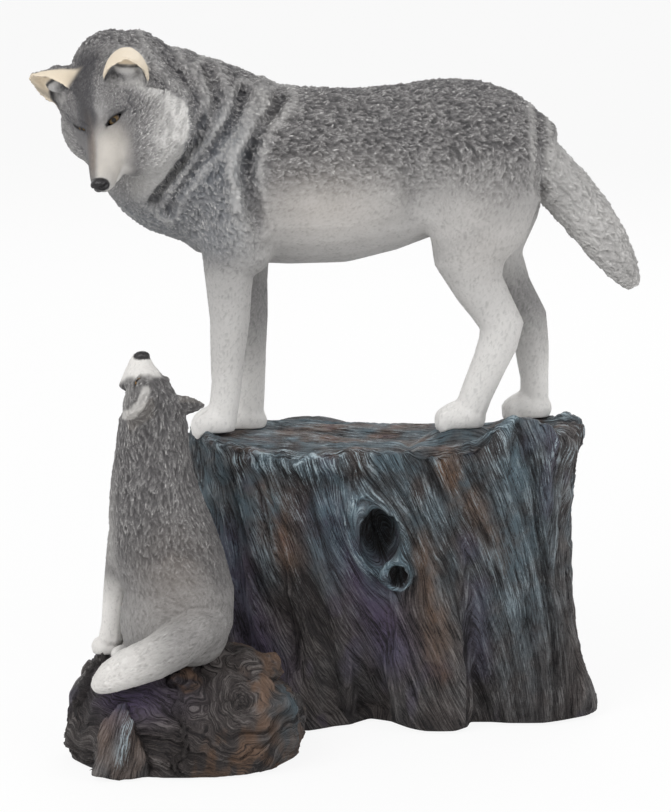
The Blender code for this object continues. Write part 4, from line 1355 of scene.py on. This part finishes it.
@dataclass
class WolfPup(Casting):
    """The seated pup that looks up."""

    node: str = "wolf_pup"
    slot: Slot = Slot.PUP_FUR
    grain: float = 0.49
    middle: tuple = (-75.0, -62.0)
    root_top: float = 35.0

    def head(self) -> Head:
        """The pup's head."""
        return Head(
            origin=(-82.0, -61.0, 130.5),
            forward=(-0.15, 0.25, 0.95),
            up=(0.6, -0.75, 0.1),
            size=0.82,
            muzzle=12.0,
            ears=tuple(((-9.0, side * 8.4, 5.5), (-12.5, side * 19.5, 11.5)) for side in (-1, 1)),
            ear_half_width=7.2,
            ear_cup=6.0,
            ear_opening=(0.62, 0.78, 0.0),
            eye_open=(0.75, 0.75),
        )

    def build(self, effects: Effects) -> None:
        """Makes the pup's pieces.

        Args:
            effects: the shared effects of the paint.
        """
        head = self.head()
        skin = Skin("pup_work", merged_copy(self.node))
        skin.fuse(self.grain, 4)
        face = head.carve_face(skin)
        masks = self.masks(skin, head, face)
        self.comb(skin, head, masks)
        skin.note({name: masks[name] for name in FUR_MASKS})
        finish = FurFinish(
            name=self.slot.value,
            recess=srgb(70, 68, 69),
            coat=srgb(106, 104, 104),
            tip=srgb(192, 190, 188),
            pale=srgb(240, 237, 233),
            shade=srgb(80, 78, 79),
            cream=srgb(224, 214, 200),
            black=srgb(32, 30, 31),
            cool=srgb(120, 126, 134),
            tan=srgb(190, 170, 150),
        ).make(effects)
        self.hand_over(skin.part("pup_body", [], finish))
        skin.discard()
        iris = EyeFinish("pup_eye", srgb(120, 92, 56))
        self.eye_pair("pup_eyes", face["eyes"], (0.0, 0.0, 0.2), iris)

    def masks(self, skin: Skin, head: Head, face: dict) -> dict:
        """Where each paint and each kind of fur goes, from 0 to 1 at every point.

        Args:
            skin: the casting's skin.
            head: the head and its frame; not used.
            face: what carving the face gave: masks, eyes and the points in the head's frame.

        Returns:
            One mask for each paint and each kind of fur.
        """
        points = skin.points()
        x, y, z = points.T
        local = face["inside"]
        lx, ly, lz = local.T
        side = np.abs(ly)
        on_head = fade(-22, -14, lx)
        above = z - self.root_top
        tail_start = [(-60, -72, 49), (-65, -80, 48.5), (-72, -85, 44.5)]
        tail_line = [*tail_start, (-80, -87.5, 40.5), (-88, -88, 37.5), (-98, -86, 31)]
        tail = fade(9.5, 7.5, line_distance(points, tail_line))
        to_tip = fade(-68, -94, x)
        forward = (points[:, :2] - np.array(self.middle)) @ np.array((-0.8, 0.6))
        foreleg = fade(11, 15, forward) * fade(36, 24, above)
        muzzle = fade(0.0, 4.5, lx + 2.4 * (clouds(local, 2.6, 63) - 0.5)) * on_head
        cheek = around(np.stack((lx, side, lz), 1), (-4, 10, -3), (7, 5, 7)) * on_head
        crescent = [(-90.0, 120.5), (-86.5, 122.4), (-83.6, 125.8), (-82.0, 129.5)]
        bright = fade(2.0, 0.9, line_distance(points[:, [0, 2]], crescent)) * fade(-62, -66, y)
        pale = uppermost(
            tail * (0.2 + 0.77 * to_tip),
            foreleg * fade(38, 14, above) * 0.95,
            fade(8, 14, forward) * fade(10, 3, above) * 0.9,
            0.3 * fade(6, 14, forward) * fade(75, 40, above) * (1 - foreleg),
            0.24 * fade(46, 10, above) * (1 - tail),
            muzzle * 0.97,
            0.3 * cheek,
            0.95 * bright,
            np.maximum(0.45 * face["hollow"], 0.95 * face["rim"]) * fade(-60, -64, y),
        )
        haunch_arc = [(-80.7, 72.7), (-72.2, 78.0), (-62.1, 72.7), (-55.4, 62.3)]
        arc = streak(points, haunch_arc, 2.2) * fade(-60, -66, y)
        body = 0.5 * around(points, (-86, -78, 95), (7, 8, 14)) + 0.3 * fade(60, 90, above) * (1 - muzzle)
        stripe = on_head * fade(3.4, 1.4, side) * fade(3, -2, lx) * fade(0, 3, lz)
        # The socket mask adds painted shade round the pup's eyes.
        marks = 0.5 * stripe + 0.4 * face["socket"] * on_head
        shade = uppermost(body + 0.4 * arc, marks, 0.3 * face["cream"])
        quiet = np.maximum(muzzle, foreleg)
        return {
            "pale": np.clip(pale, 0, 1),
            "shade": np.clip(shade, 0, 0.9) * (1 - tail) * (1 - muzzle),
            "cream": face["cream"] * 0.1,
            "black": np.clip(face["nose"] + face["black"] * (0.75 - 0.5 * muzzle), 0, 1),
            "nose": face["nose"],
            "cool": np.zeros(len(points)),
            "tan": 0.15 * around(points, (-72, -78, 66), (12, 12, 16)),
            "tips": (0.3 + 0.4 * fade(20, 60, above)) * (1 - muzzle),
            "coarse": np.clip(0.45 + 0.55 * fade(15, 50, above) - 0.7 * quiet, 0.1, 1),
            "tail": tail,
            "on_head": on_head,
            "muzzle": muzzle,
            "foreleg": foreleg,
            "arc": arc,
        }

    def comb(self, skin: Skin, head: Head, masks: dict) -> None:
        """Lays the locks of the coat and raises them.

        Args:
            skin: the casting's skin.
            head: the head and its frame.
            masks: where each kind of fur goes.
        """
        points, normals = skin.points(), skin.normals()
        x, _, z = points.T
        above = z - self.root_top
        way = np.tile(np.array((0.1, -0.1, -1.0)), (len(points), 1))
        haunch = around(points, (-66, -74, 52), (16, 14, 20))
        swirl = np.stack((z - 50.0, np.zeros(len(points)), -(x + 70.0)), 1)
        way = blend_into(way, swirl, np.clip(haunch, 0, 0.75))
        way = blend_into(way, (-0.85, -0.25, -0.35), masks["tail"])
        way = blend_into(way, points - head.world([(14.0, 0.0, -1.0)])[0], masks["on_head"])
        rough = np.clip(0.4 + 0.6 * fade(20, 50, above), 0, 1)
        rough = rough * (1 - masks["muzzle"]) * (1 - masks["foreleg"])
        rough = np.clip(rough + 0.2 * masks["tail"], 0, 1)
        length, width, height = 2.2 + 3.0 * rough, 0.75 + 0.3 * rough, 0.06 + 0.66 * rough
        bare = np.clip(masks["nose"] + masks["black"], 0, 1)
        coat = Coat(way, length, width, height, self.grain, 23)
        relief, place_across, place_along = coat.comb(points, normals)
        step = (relief - 0.45) * height * (1 - bare) - 0.7 * masks["arc"]
        skin.raise_by(step * fade(0.5, 4.0, above + 14 * masks["tail"]))
        skin.note({"relief": relief, "lock_across": place_across, "lock_along": place_along})


@dataclass
class StumpBase(Casting):
    """The tree stump with the broken root at its foot.

    Attributes:
        knots: for each knot, its x and z, half its width and height, and its lean.
        burl: x and z of the middle of the root's rings.
        clefts: for each cleft, its line of x and z, half its width, and its depth.
    """

    node: str = "stump_base"
    slot: Slot = Slot.BARK
    grain: float = 0.79
    height: float = 102.0
    knots: tuple = ((-3.5, 71.0, 9.6, 15.5, 0.233), (4.1, 57.0, 5.4, 5.6, 0.0))
    burl: tuple = (-50.3, 25.5)
    clefts: tuple = (
        (((20, 62), (26, 46), (35, 8)), 2.6, 2.6),
        (((8, 101), (22, 84), (38, 66)), 2.2, 1.8),
        (((-58, 88), (-50, 62), (-40, 40)), 2.4, 1.8),
        (((-34, 96), (-26, 80), (-18, 60)), 2.2, 1.6),
        (((52, 98), (56, 70), (60, 40)), 2.2, 1.5),
    )

    def knot_reach(self, points: Array, knot: tuple) -> Array:
        """How far points are from a knot's middle, 1 on its rim."""
        knot_x, knot_z, half_width, half_height, lean = knot
        up = points[:, 2] - knot_z
        return np.hypot((points[:, 0] - knot_x + lean * up) / half_width, up / half_height)

    def grain_places(self, points: Array) -> Array:
        """Places across the grain, as x of the line at the stump's top, led round the knots.

        Args:
            points: the skin's points.

        Returns:
            One place for each point.
        """
        x, y, z = points.T
        fall = np.clip(self.height - z, -15, 110)
        slant = (0.26 + 0.19 * fade(-75, -5, x)) * fade(88, 28, x)
        across = x - slant * fall * fade(-5, -20, y) - 0.2 * fall * fade(-20, -5, y)
        for knot in self.knots:
            gap = self.knot_reach(points, knot) ** 2 + 0.15
            aside = x - knot[0] + knot[4] * (z - knot[1])
            across -= aside / gap * np.exp(-gap / 7.0) * fade(-10, -25, y)
        return across

    def build(self, effects: Effects) -> None:
        """Makes the base's pieces.

        Args:
            effects: the shared effects of the paint.
        """
        skin = Skin("base_work", merged_copy(self.node))
        skin.fuse(self.grain, 4)
        points, normals = skin.points(), skin.normals()
        zones = self.zones(points, normals)
        grain = self.grain_map(points, zones)
        relief, plates = self.furrow(grain, zones)
        fringe = self.fringe(points, normals)
        step = self.relief(points, zones, grain, relief, plates)
        y, z = points[:, 1], points[:, 2]
        skin.raise_by((step + fringe) * fade(0.4, 3.0, z) * (1 - 0.4 * fade(20, 34, y)))
        skin.note(self.paint(points, zones, relief, fringe))
        skin.note({"relief": np.clip(0.75 * relief + 0.25 * plates, 0, 1), **grain})
        skin.note({"end_face": zones["end"], "top_face": zones["top"]})
        finish = BarkFinish().make(effects)
        cut = Vector((7.0, 0.0, 0.0))
        self.hand_over(skin.part("stump_left_and_root", [(cut, RIGHT)], finish))
        self.hand_over(skin.part("stump_right", [(cut, LEFT)], finish))
        skin.discard()

    def zones(self, points: Array, normals: Array) -> dict:
        """Where the root, the top, the broken sides, the burl and the toe are, each from 0 to 1.

        Args:
            points: the skin's points.
            normals: the way the skin faces at each point.

        Returns:
            The zones, with the root's curl and the reach from its toe.
        """
        x, y, z = points.T
        on_root = fade(-45, -50, y - 0.25 * (x + 35)) * fade(50, 44, z) * fade(-22, -31, x)
        top = fade(0.55, 0.85, normals[:, 2]) * fade(86, 93, z)
        curl = clouds(points, 12.0, 8, 2) - 0.5
        toe_reach = np.hypot((x + 90.5) / 9.2, (z - 4) / 20.0) + 0.3 * curl
        return {
            "root": on_root,
            "top": top,
            "end": fade(0.5, 0.8, np.abs(normals[:, 0])) * (1 - top) * (1 - on_root),
            "curl": curl,
            "burl": on_root * fade(-70.0, -67.0, x + 24 * curl + 0.15 * z),
            "toe_reach": toe_reach,
            "toe": on_root * fade(1.03, 0.97, toe_reach) * fade(-74, -80, y),
        }

    def burl_rings(self, points: Array, curl: Array) -> tuple:
        """The distance from the burl's middle, wavy, and the turn round it."""
        away = np.stack((points[:, 0] - self.burl[0], 1.1 * (points[:, 2] - self.burl[1])), 1)
        rings = np.hypot(*away.T) + 20.0 * curl + 3.0 * (clouds(points, 3.4, 9, 2) - 0.5)
        return rings, np.arctan2(away[:, 1], away[:, 0]) * 9.0

    def grain_map(self, points: Array, zones: dict) -> dict:
        """The place across and along the grain, as seen from the front, from the sides and from above.

        Args:
            points: the skin's points.
            zones: where the root, the top and the other parts of the base are.

        Returns:
            The places by the names under which the paint reads them.
        """
        x, y, z = points.T
        curl = zones["curl"]
        wavy = 2.2 * (clouds(points, (12, 12, 30), 3, 2) - 0.5) + 0.9 * (clouds(points, (5, 5, 14), 6) - 0.5)
        root_across = z + 0.3 * x + 10.0 * curl + 2.0 * (clouds(points, 3.4, 10, 2) - 0.5)
        grain_x = self.grain_places(points) + wavy
        grain_z = z.copy()
        for weight, across, along in (
            (zones["root"], root_across, x),
            (zones["toe"], x - 0.25 * z + 3.0 * curl, z),
            (zones["burl"], *self.burl_rings(points, curl)),
        ):
            grain_x = grain_x * (1 - weight) + across * weight
            grain_z = grain_z * (1 - weight) + along * weight
        return {
            "grain_x": grain_x,
            "grain_y": y * (1 + 0.0012 * z) + wavy,
            "grain_z": grain_z,
            "grain_top": y + 0.12 * x + 3.0 * (clouds(points, (26, 12, 20), 4, 2) - 0.5),
            "grain_end": x,
        }

    def relief(self, points: Array, zones: dict, grain: dict, relief: Array, plates: Array) -> Array:
        """How far the bark stands out at each point, but for its splintered top edge.

        Args:
            points: the skin's points.
            zones: where the root, the top and the other parts of the base are.
            grain: the places across and along the grain.
            relief: how high the furrows' ridges stand, from 0 to 1.
            plates: how high the broken plates stand, from 0 to 1.

        Returns:
            One height for each point, in millimetres.
        """
        _, y, z = points.T
        on_root, top, end, toe = (zones[name] for name in ("root", "top", "end", "toe"))
        step = (relief - 0.5) * (2.5 - 1.2 * top) + (plates - 0.5) * (4.6 - 3.0 * top)
        step += on_root * 4.6 * (clouds(points, 8.0, 51, 2) - 0.5)
        toe_border = bell(zones["toe_reach"] - 1.0, 0.1) * fade(-74, -80, y) * on_root
        burl_rim = bell(self.burl_rings(points, zones["curl"])[0] - 15.0, 1.3)
        step += 1.4 * toe - 1.2 * toe_border - 0.9 * zones["burl"] * burl_rim
        front = fade(-5, -15, y) * (1 - on_root)
        recess = streak(points, ((-28, 46), (-24, 28), (-16, 4)), 11.0)
        flare = streak(points, ((-6, 48), (2, 26), (6, 4)), 4.0)
        step += front * (1.8 * flare - 3.8 * recess) * fade(52, 36, z)
        flutes = clouds(np.stack((grain["grain_x"], 0.22 * z, 0.0 * z), 1), 11.0, 33) - 0.5
        step += 4.2 * flutes * (1 - top) * (1 - on_root) * (1 - end)
        for line, reach, depth in self.clefts:
            step -= front * depth * streak(points, line, reach)
        front = fade(-18, -26, y)
        for knot in self.knots:
            away = self.knot_reach(points, knot)
            step -= fade(1.3, 0.9, away) * front * (relief - 0.5) * 1.2
            step += (1.3 * bell(away - 1.0, 0.15) - 1.1 * fade(0.86, 0.45, away)) * front
        return step

    def furrow(self, grain: dict, zones: dict) -> tuple:
        """Furrows along the grain, and the broken plates of wood between them, each from 0 to 1.

        Args:
            grain: the places across and along the grain.
            zones: where the root, the top and the other parts of the base are.

        Returns:
            The furrows and the plates.
        """
        lines, plates = [], []
        for across, along in (("grain_x", "grain_z"), ("grain_y", "grain_z"), ("grain_top", "grain_end")):
            flat = np.stack((grain[across], grain[along], 0.0 * grain[along]), 1)
            wide = furrows(flat, (3.6, 34.0, 1.0), 21)
            fine = furrows(flat, (1.9, 18.0, 1.0), 22)
            lines.append(np.clip(0.5 * wide + 0.5 * fine, 0, 1))
            height = 6.0 * clouds(flat, (10.0, 46.0, 1.0), 24, 2)
            plates.append((np.floor(height) + fade(0.72, 1.0, height % 1.0)) / 6.0)
        pair = []
        for sides in (lines, plates):
            side = sides[0] * (1 - zones["end"]) + sides[1] * zones["end"]
            pair.append(side * (1 - zones["top"]) + sides[2] * zones["top"])
        return tuple(pair)

    def fringe(self, points: Array, normals: Array) -> Array:
        """Splintered edges round the stump's top.

        Args:
            points: the skin's points.
            normals: the way the skin faces at each point.

        Returns:
            One height for each point, in millimetres.
        """
        z = points[:, 2]
        crest = np.flatnonzero((z > 84) & (normals[:, 2] > 0.3) & (normals[:, 2] < 0.65))
        tree = kdtree.KDTree(len(crest))
        for index in crest:
            tree.insert(points[index], int(index))
        tree.balance()
        away = np.full(len(points), 99.0)
        for index in np.flatnonzero(z > 74):
            away[index] = tree.find(points[index])[2]
        edge = bell(away, 5.0)
        drawn = np.stack((points[:, 0], points[:, 1], z * 0.35), 1)
        chunks = clouds(drawn, 6.5, 30)
        teeth = clouds(drawn, 2.6, 31, 2)
        return edge * ((chunks - 0.5) * 8.5 + (teeth - 0.45) * 4.8) * fade(40, 26, points[:, 1])

    def paint(self, points: Array, zones: dict, relief: Array, fringe: Array) -> dict:
        """Where each colour is brushed, from 0 to 1.

        Args:
            points: the skin's points.
            zones: where the root, the top and the other parts of the base are.
            relief: how high the furrows' ridges stand, from 0 to 1.
            fringe: how far the top edge's splinters stand out.

        Returns:
            One mask for each colour.
        """
        _, y, z = points.T
        on_root, top, burl, toe = (zones[name] for name in ("root", "top", "burl", "toe"))
        patch = clouds(points, (11, 11, 20), 41, 2)
        other = clouds(points, (10, 10, 22), 47, 2)
        small = clouds(points, (3.5, 3.5, 7.0), 49, 2)
        stump, high, front, knot_front = 1 - on_root, fade(30, 88, z), fade(-10, -24, y), fade(-18, -26, y)
        root_purple = on_root * around(points, (-88, -86, 27), (17, 20, 7.5))
        purple = uppermost(
            0.85 * streak(points, ((-20, 78), (-12.7, 63.5), (-5.7, 49), (2, 28)), 8.5) * front,
            0.85 * streak(points, ((-56, 66), (-51, 42), (-41, 20)), 8.0) * stump,
            0.6 * streak(points, ((33, 52), (34, 20)), 4.0) * stump,
            0.5 * fade(0.6, 0.75, other) * stump,
            root_purple,
        )
        copper = uppermost(
            0.95 * streak(points, ((20, 99), (30, 82), (42, 62)), 4.4) * front,
            0.8 * streak(points, ((12, 72), (17, 48), (19, 22)), 4.2) * front,
            0.8 * streak(points, ((-44, 88), (-36, 62)), 5.0) * front,
            0.65 * top * fade(0.5, 0.7, other),
            0.5 * stump * fade(0.35, 0.24, other) * fade(10, 20, y),
        )
        copper = uppermost(
            copper * (0.55 + 0.45 * fade(0.35, 0.55, small)),
            0.8 * burl * fade(0.42, 0.56, other) * fade(0.35, 0.6, small),
            0.35 * toe * fade(0.4, 0.6, other),
        )
        right = around(points, (48, -34, 66), (17, 24, 46))
        blues = [
            stump * (0.12 + 0.75 * high) * fade(0.32, 0.6, patch),
            0.6 * top * fade(0.4, 0.6, patch),
            0.85 * right,
            0.9 * around(points, (-64, -18, 99), (8, 18, 11)),
        ]
        frosts = [
            np.clip(fringe * 0.45, 0, 0.9) + 0.5 * stump * high * fade(0.42, 0.66, small),
            0.6 * right * fade(0.4, 0.8, relief),
            0.9 * (streak(points, ((-87.6, 21), (-88.4, 14), (-89.6, 7)), 2.2) * toe),
        ]
        for spot in ((-26, -38, 90), (28, -38, 101), (-50, -30, 92), (62, -30, 96)):
            frosts.append(0.75 * around(points, spot, (16, 18, 9)) * fade(0.4, 0.58, small))
        # The hollow low on the front, beside the root, is darkened: partly the bark's dark paint and partly
        # painted shade between the stump and the root.
        recess = streak(points, ((-30, 50), (-24, 30), (-14, 6)), 12.0) * fade(-5, -15, y) * stump
        darks_and_shade = [0.85 * recess * (1 - 0.7 * purple), 0.3 * fade(34, 6, z) * stump]
        for knot in self.knots:
            away = self.knot_reach(points, knot)
            worn = 0.55 + 0.45 * fade(0.35, 0.6, small)
            frosts.append(bell(away - 1.02, 0.16) * knot_front * worn)
            blues.append(bell(away - 0.9, 0.32) * knot_front)
            darks_and_shade.append(fade(0.68, 0.4, away) * knot_front)
        for line, reach, depth in self.clefts:
            darks_and_shade.append(0.3 * depth * streak(points, line, 0.8 * reach) * front * stump)
        darks_and_shade.append(0.45 * on_root * (1 - toe) * (0.6 + 0.6 * patch))
        root_blue = 0.8 * on_root * around(points, (-33, -82, 22), (5, 20, 18))
        return {
            "blue": uppermost(uppermost(*blues) * (1 - root_purple), root_blue, 0.15 * toe),
            "frost": uppermost(*frosts),
            "purple": purple,
            "copper": copper,
            "dark": uppermost(*darks_and_shade) * (1 - 0.9 * root_purple),
        }


# The studio


@dataclass
class Studio:
    """A plain pale room with soft light and a camera at the photograph's angle, in millimetres."""

    target: tuple = (-17.82, 0.0, 110.8)
    elevation_deg: float = 11.0
    distance: float = 1200.0
    lens: float = 147.8

    def camera(self) -> None:
        """Places the camera."""
        data = bpy.data.cameras.new("camera")
        data.lens = self.lens
        data.sensor_width = 36.0
        data.clip_end = 20.0
        camera = placed("camera", data)
        rise = math.radians(self.elevation_deg)
        back = Vector((0.0, -math.cos(rise), math.sin(rise)))
        camera.location = (Vector(self.target) + back * self.distance) * MM
        camera.rotation_euler = back.to_track_quat("Z", "Y").to_euler()
        bpy.context.scene.camera = camera

    def lamp(self, name: str, place: tuple, size: float, power: float) -> None:
        """A soft square lamp that faces the figurine.

        Args:
            name: the lamp's name.
            place: where it stands, in metres.
            size: its side, in metres.
            power: its power, in watts.
        """
        data = bpy.data.lights.new(name, "AREA")
        data.size = size
        data.energy = power
        lamp = placed(name, data)
        lamp.location = Vector(place)
        aim = Vector(place) - Vector((-0.02, 0.0, 0.12))
        lamp.rotation_euler = aim.to_track_quat("Z", "Y").to_euler()

    def surroundings(self) -> None:
        """A white world and a pale floor that keeps the shadow."""
        world = bpy.data.worlds.new("studio")
        bpy.context.scene.world = world
        world.use_nodes = True
        w = Wiring(world.node_tree)
        background = world.node_tree.nodes["Background"]
        background.inputs["Color"].default_value = (1.0, 1.0, 1.0, 1.0)
        path = w.add("ShaderNodeLightPath", {})
        seen = w.math("MAXIMUM", path.outputs["Is Camera Ray"], path.outputs["Is Glossy Ray"])
        seen = w.math("MAXIMUM", seen, path.outputs["Is Transmission Ray"])
        w.tree.links.new(w.span(seen, 0.0, 1.0, (0.5, 1.0)), background.inputs["Strength"])
        shape = bmesh.new()
        bmesh.ops.create_grid(shape, x_segments=1, y_segments=1, size=4.0)
        bmesh.ops.translate(shape, vec=(0.0, 0.0, -0.0004), verts=shape.verts)
        floor = new_object("floor", shape)
        floor.data.materials.append(self.floor_material())

    def floor_material(self) -> bpy.types.Material:
        """A white floor whose shadow stays faint to the camera."""
        material, w, shader = new_material("pale_floor")
        material.node_tree.nodes.remove(shader)
        plain = w.add("ShaderNodeBsdfDiffuse", {"Color": (0.9, 0.9, 0.9, 1.0)})
        white = w.add("ShaderNodeEmission", {"Color": (1.0, 1.0, 1.0, 1.0), "Strength": 1.0})
        path = w.add("ShaderNodeLightPath", {})
        share = w.product(path.outputs["Is Camera Ray"], 0.9)
        mixed = w.add("ShaderNodeMixShader", {0: share, 1: plain.outputs[0], 2: white.outputs[0]})
        output = material.node_tree.nodes["Material Output"]
        w.tree.links.new(mixed.outputs[0], output.inputs["Surface"])
        return material

    def build(self) -> None:
        """Sets up the whole studio."""
        bpy.context.scene.view_settings.view_transform = "Standard"
        self.camera()
        self.surroundings()
        self.lamp("key", (-0.7, -0.9, 1.0), 0.8, 11.0)
        self.lamp("fill", (0.9, -0.8, 0.5), 0.9, 5.0)
        self.lamp("back", (0.2, 1.0, 0.9), 0.8, 5.0)


def main() -> None:
    """Builds the figurine's pieces and the studio."""
    logging.basicConfig(level=logging.INFO, format="%(message)s")
    effects = Effects()
    for casting in (StumpBase(), AdultWolf(), WolfPup()):
        casting.build(effects)
    Studio().build()


if __name__ == "__main__":
    main()
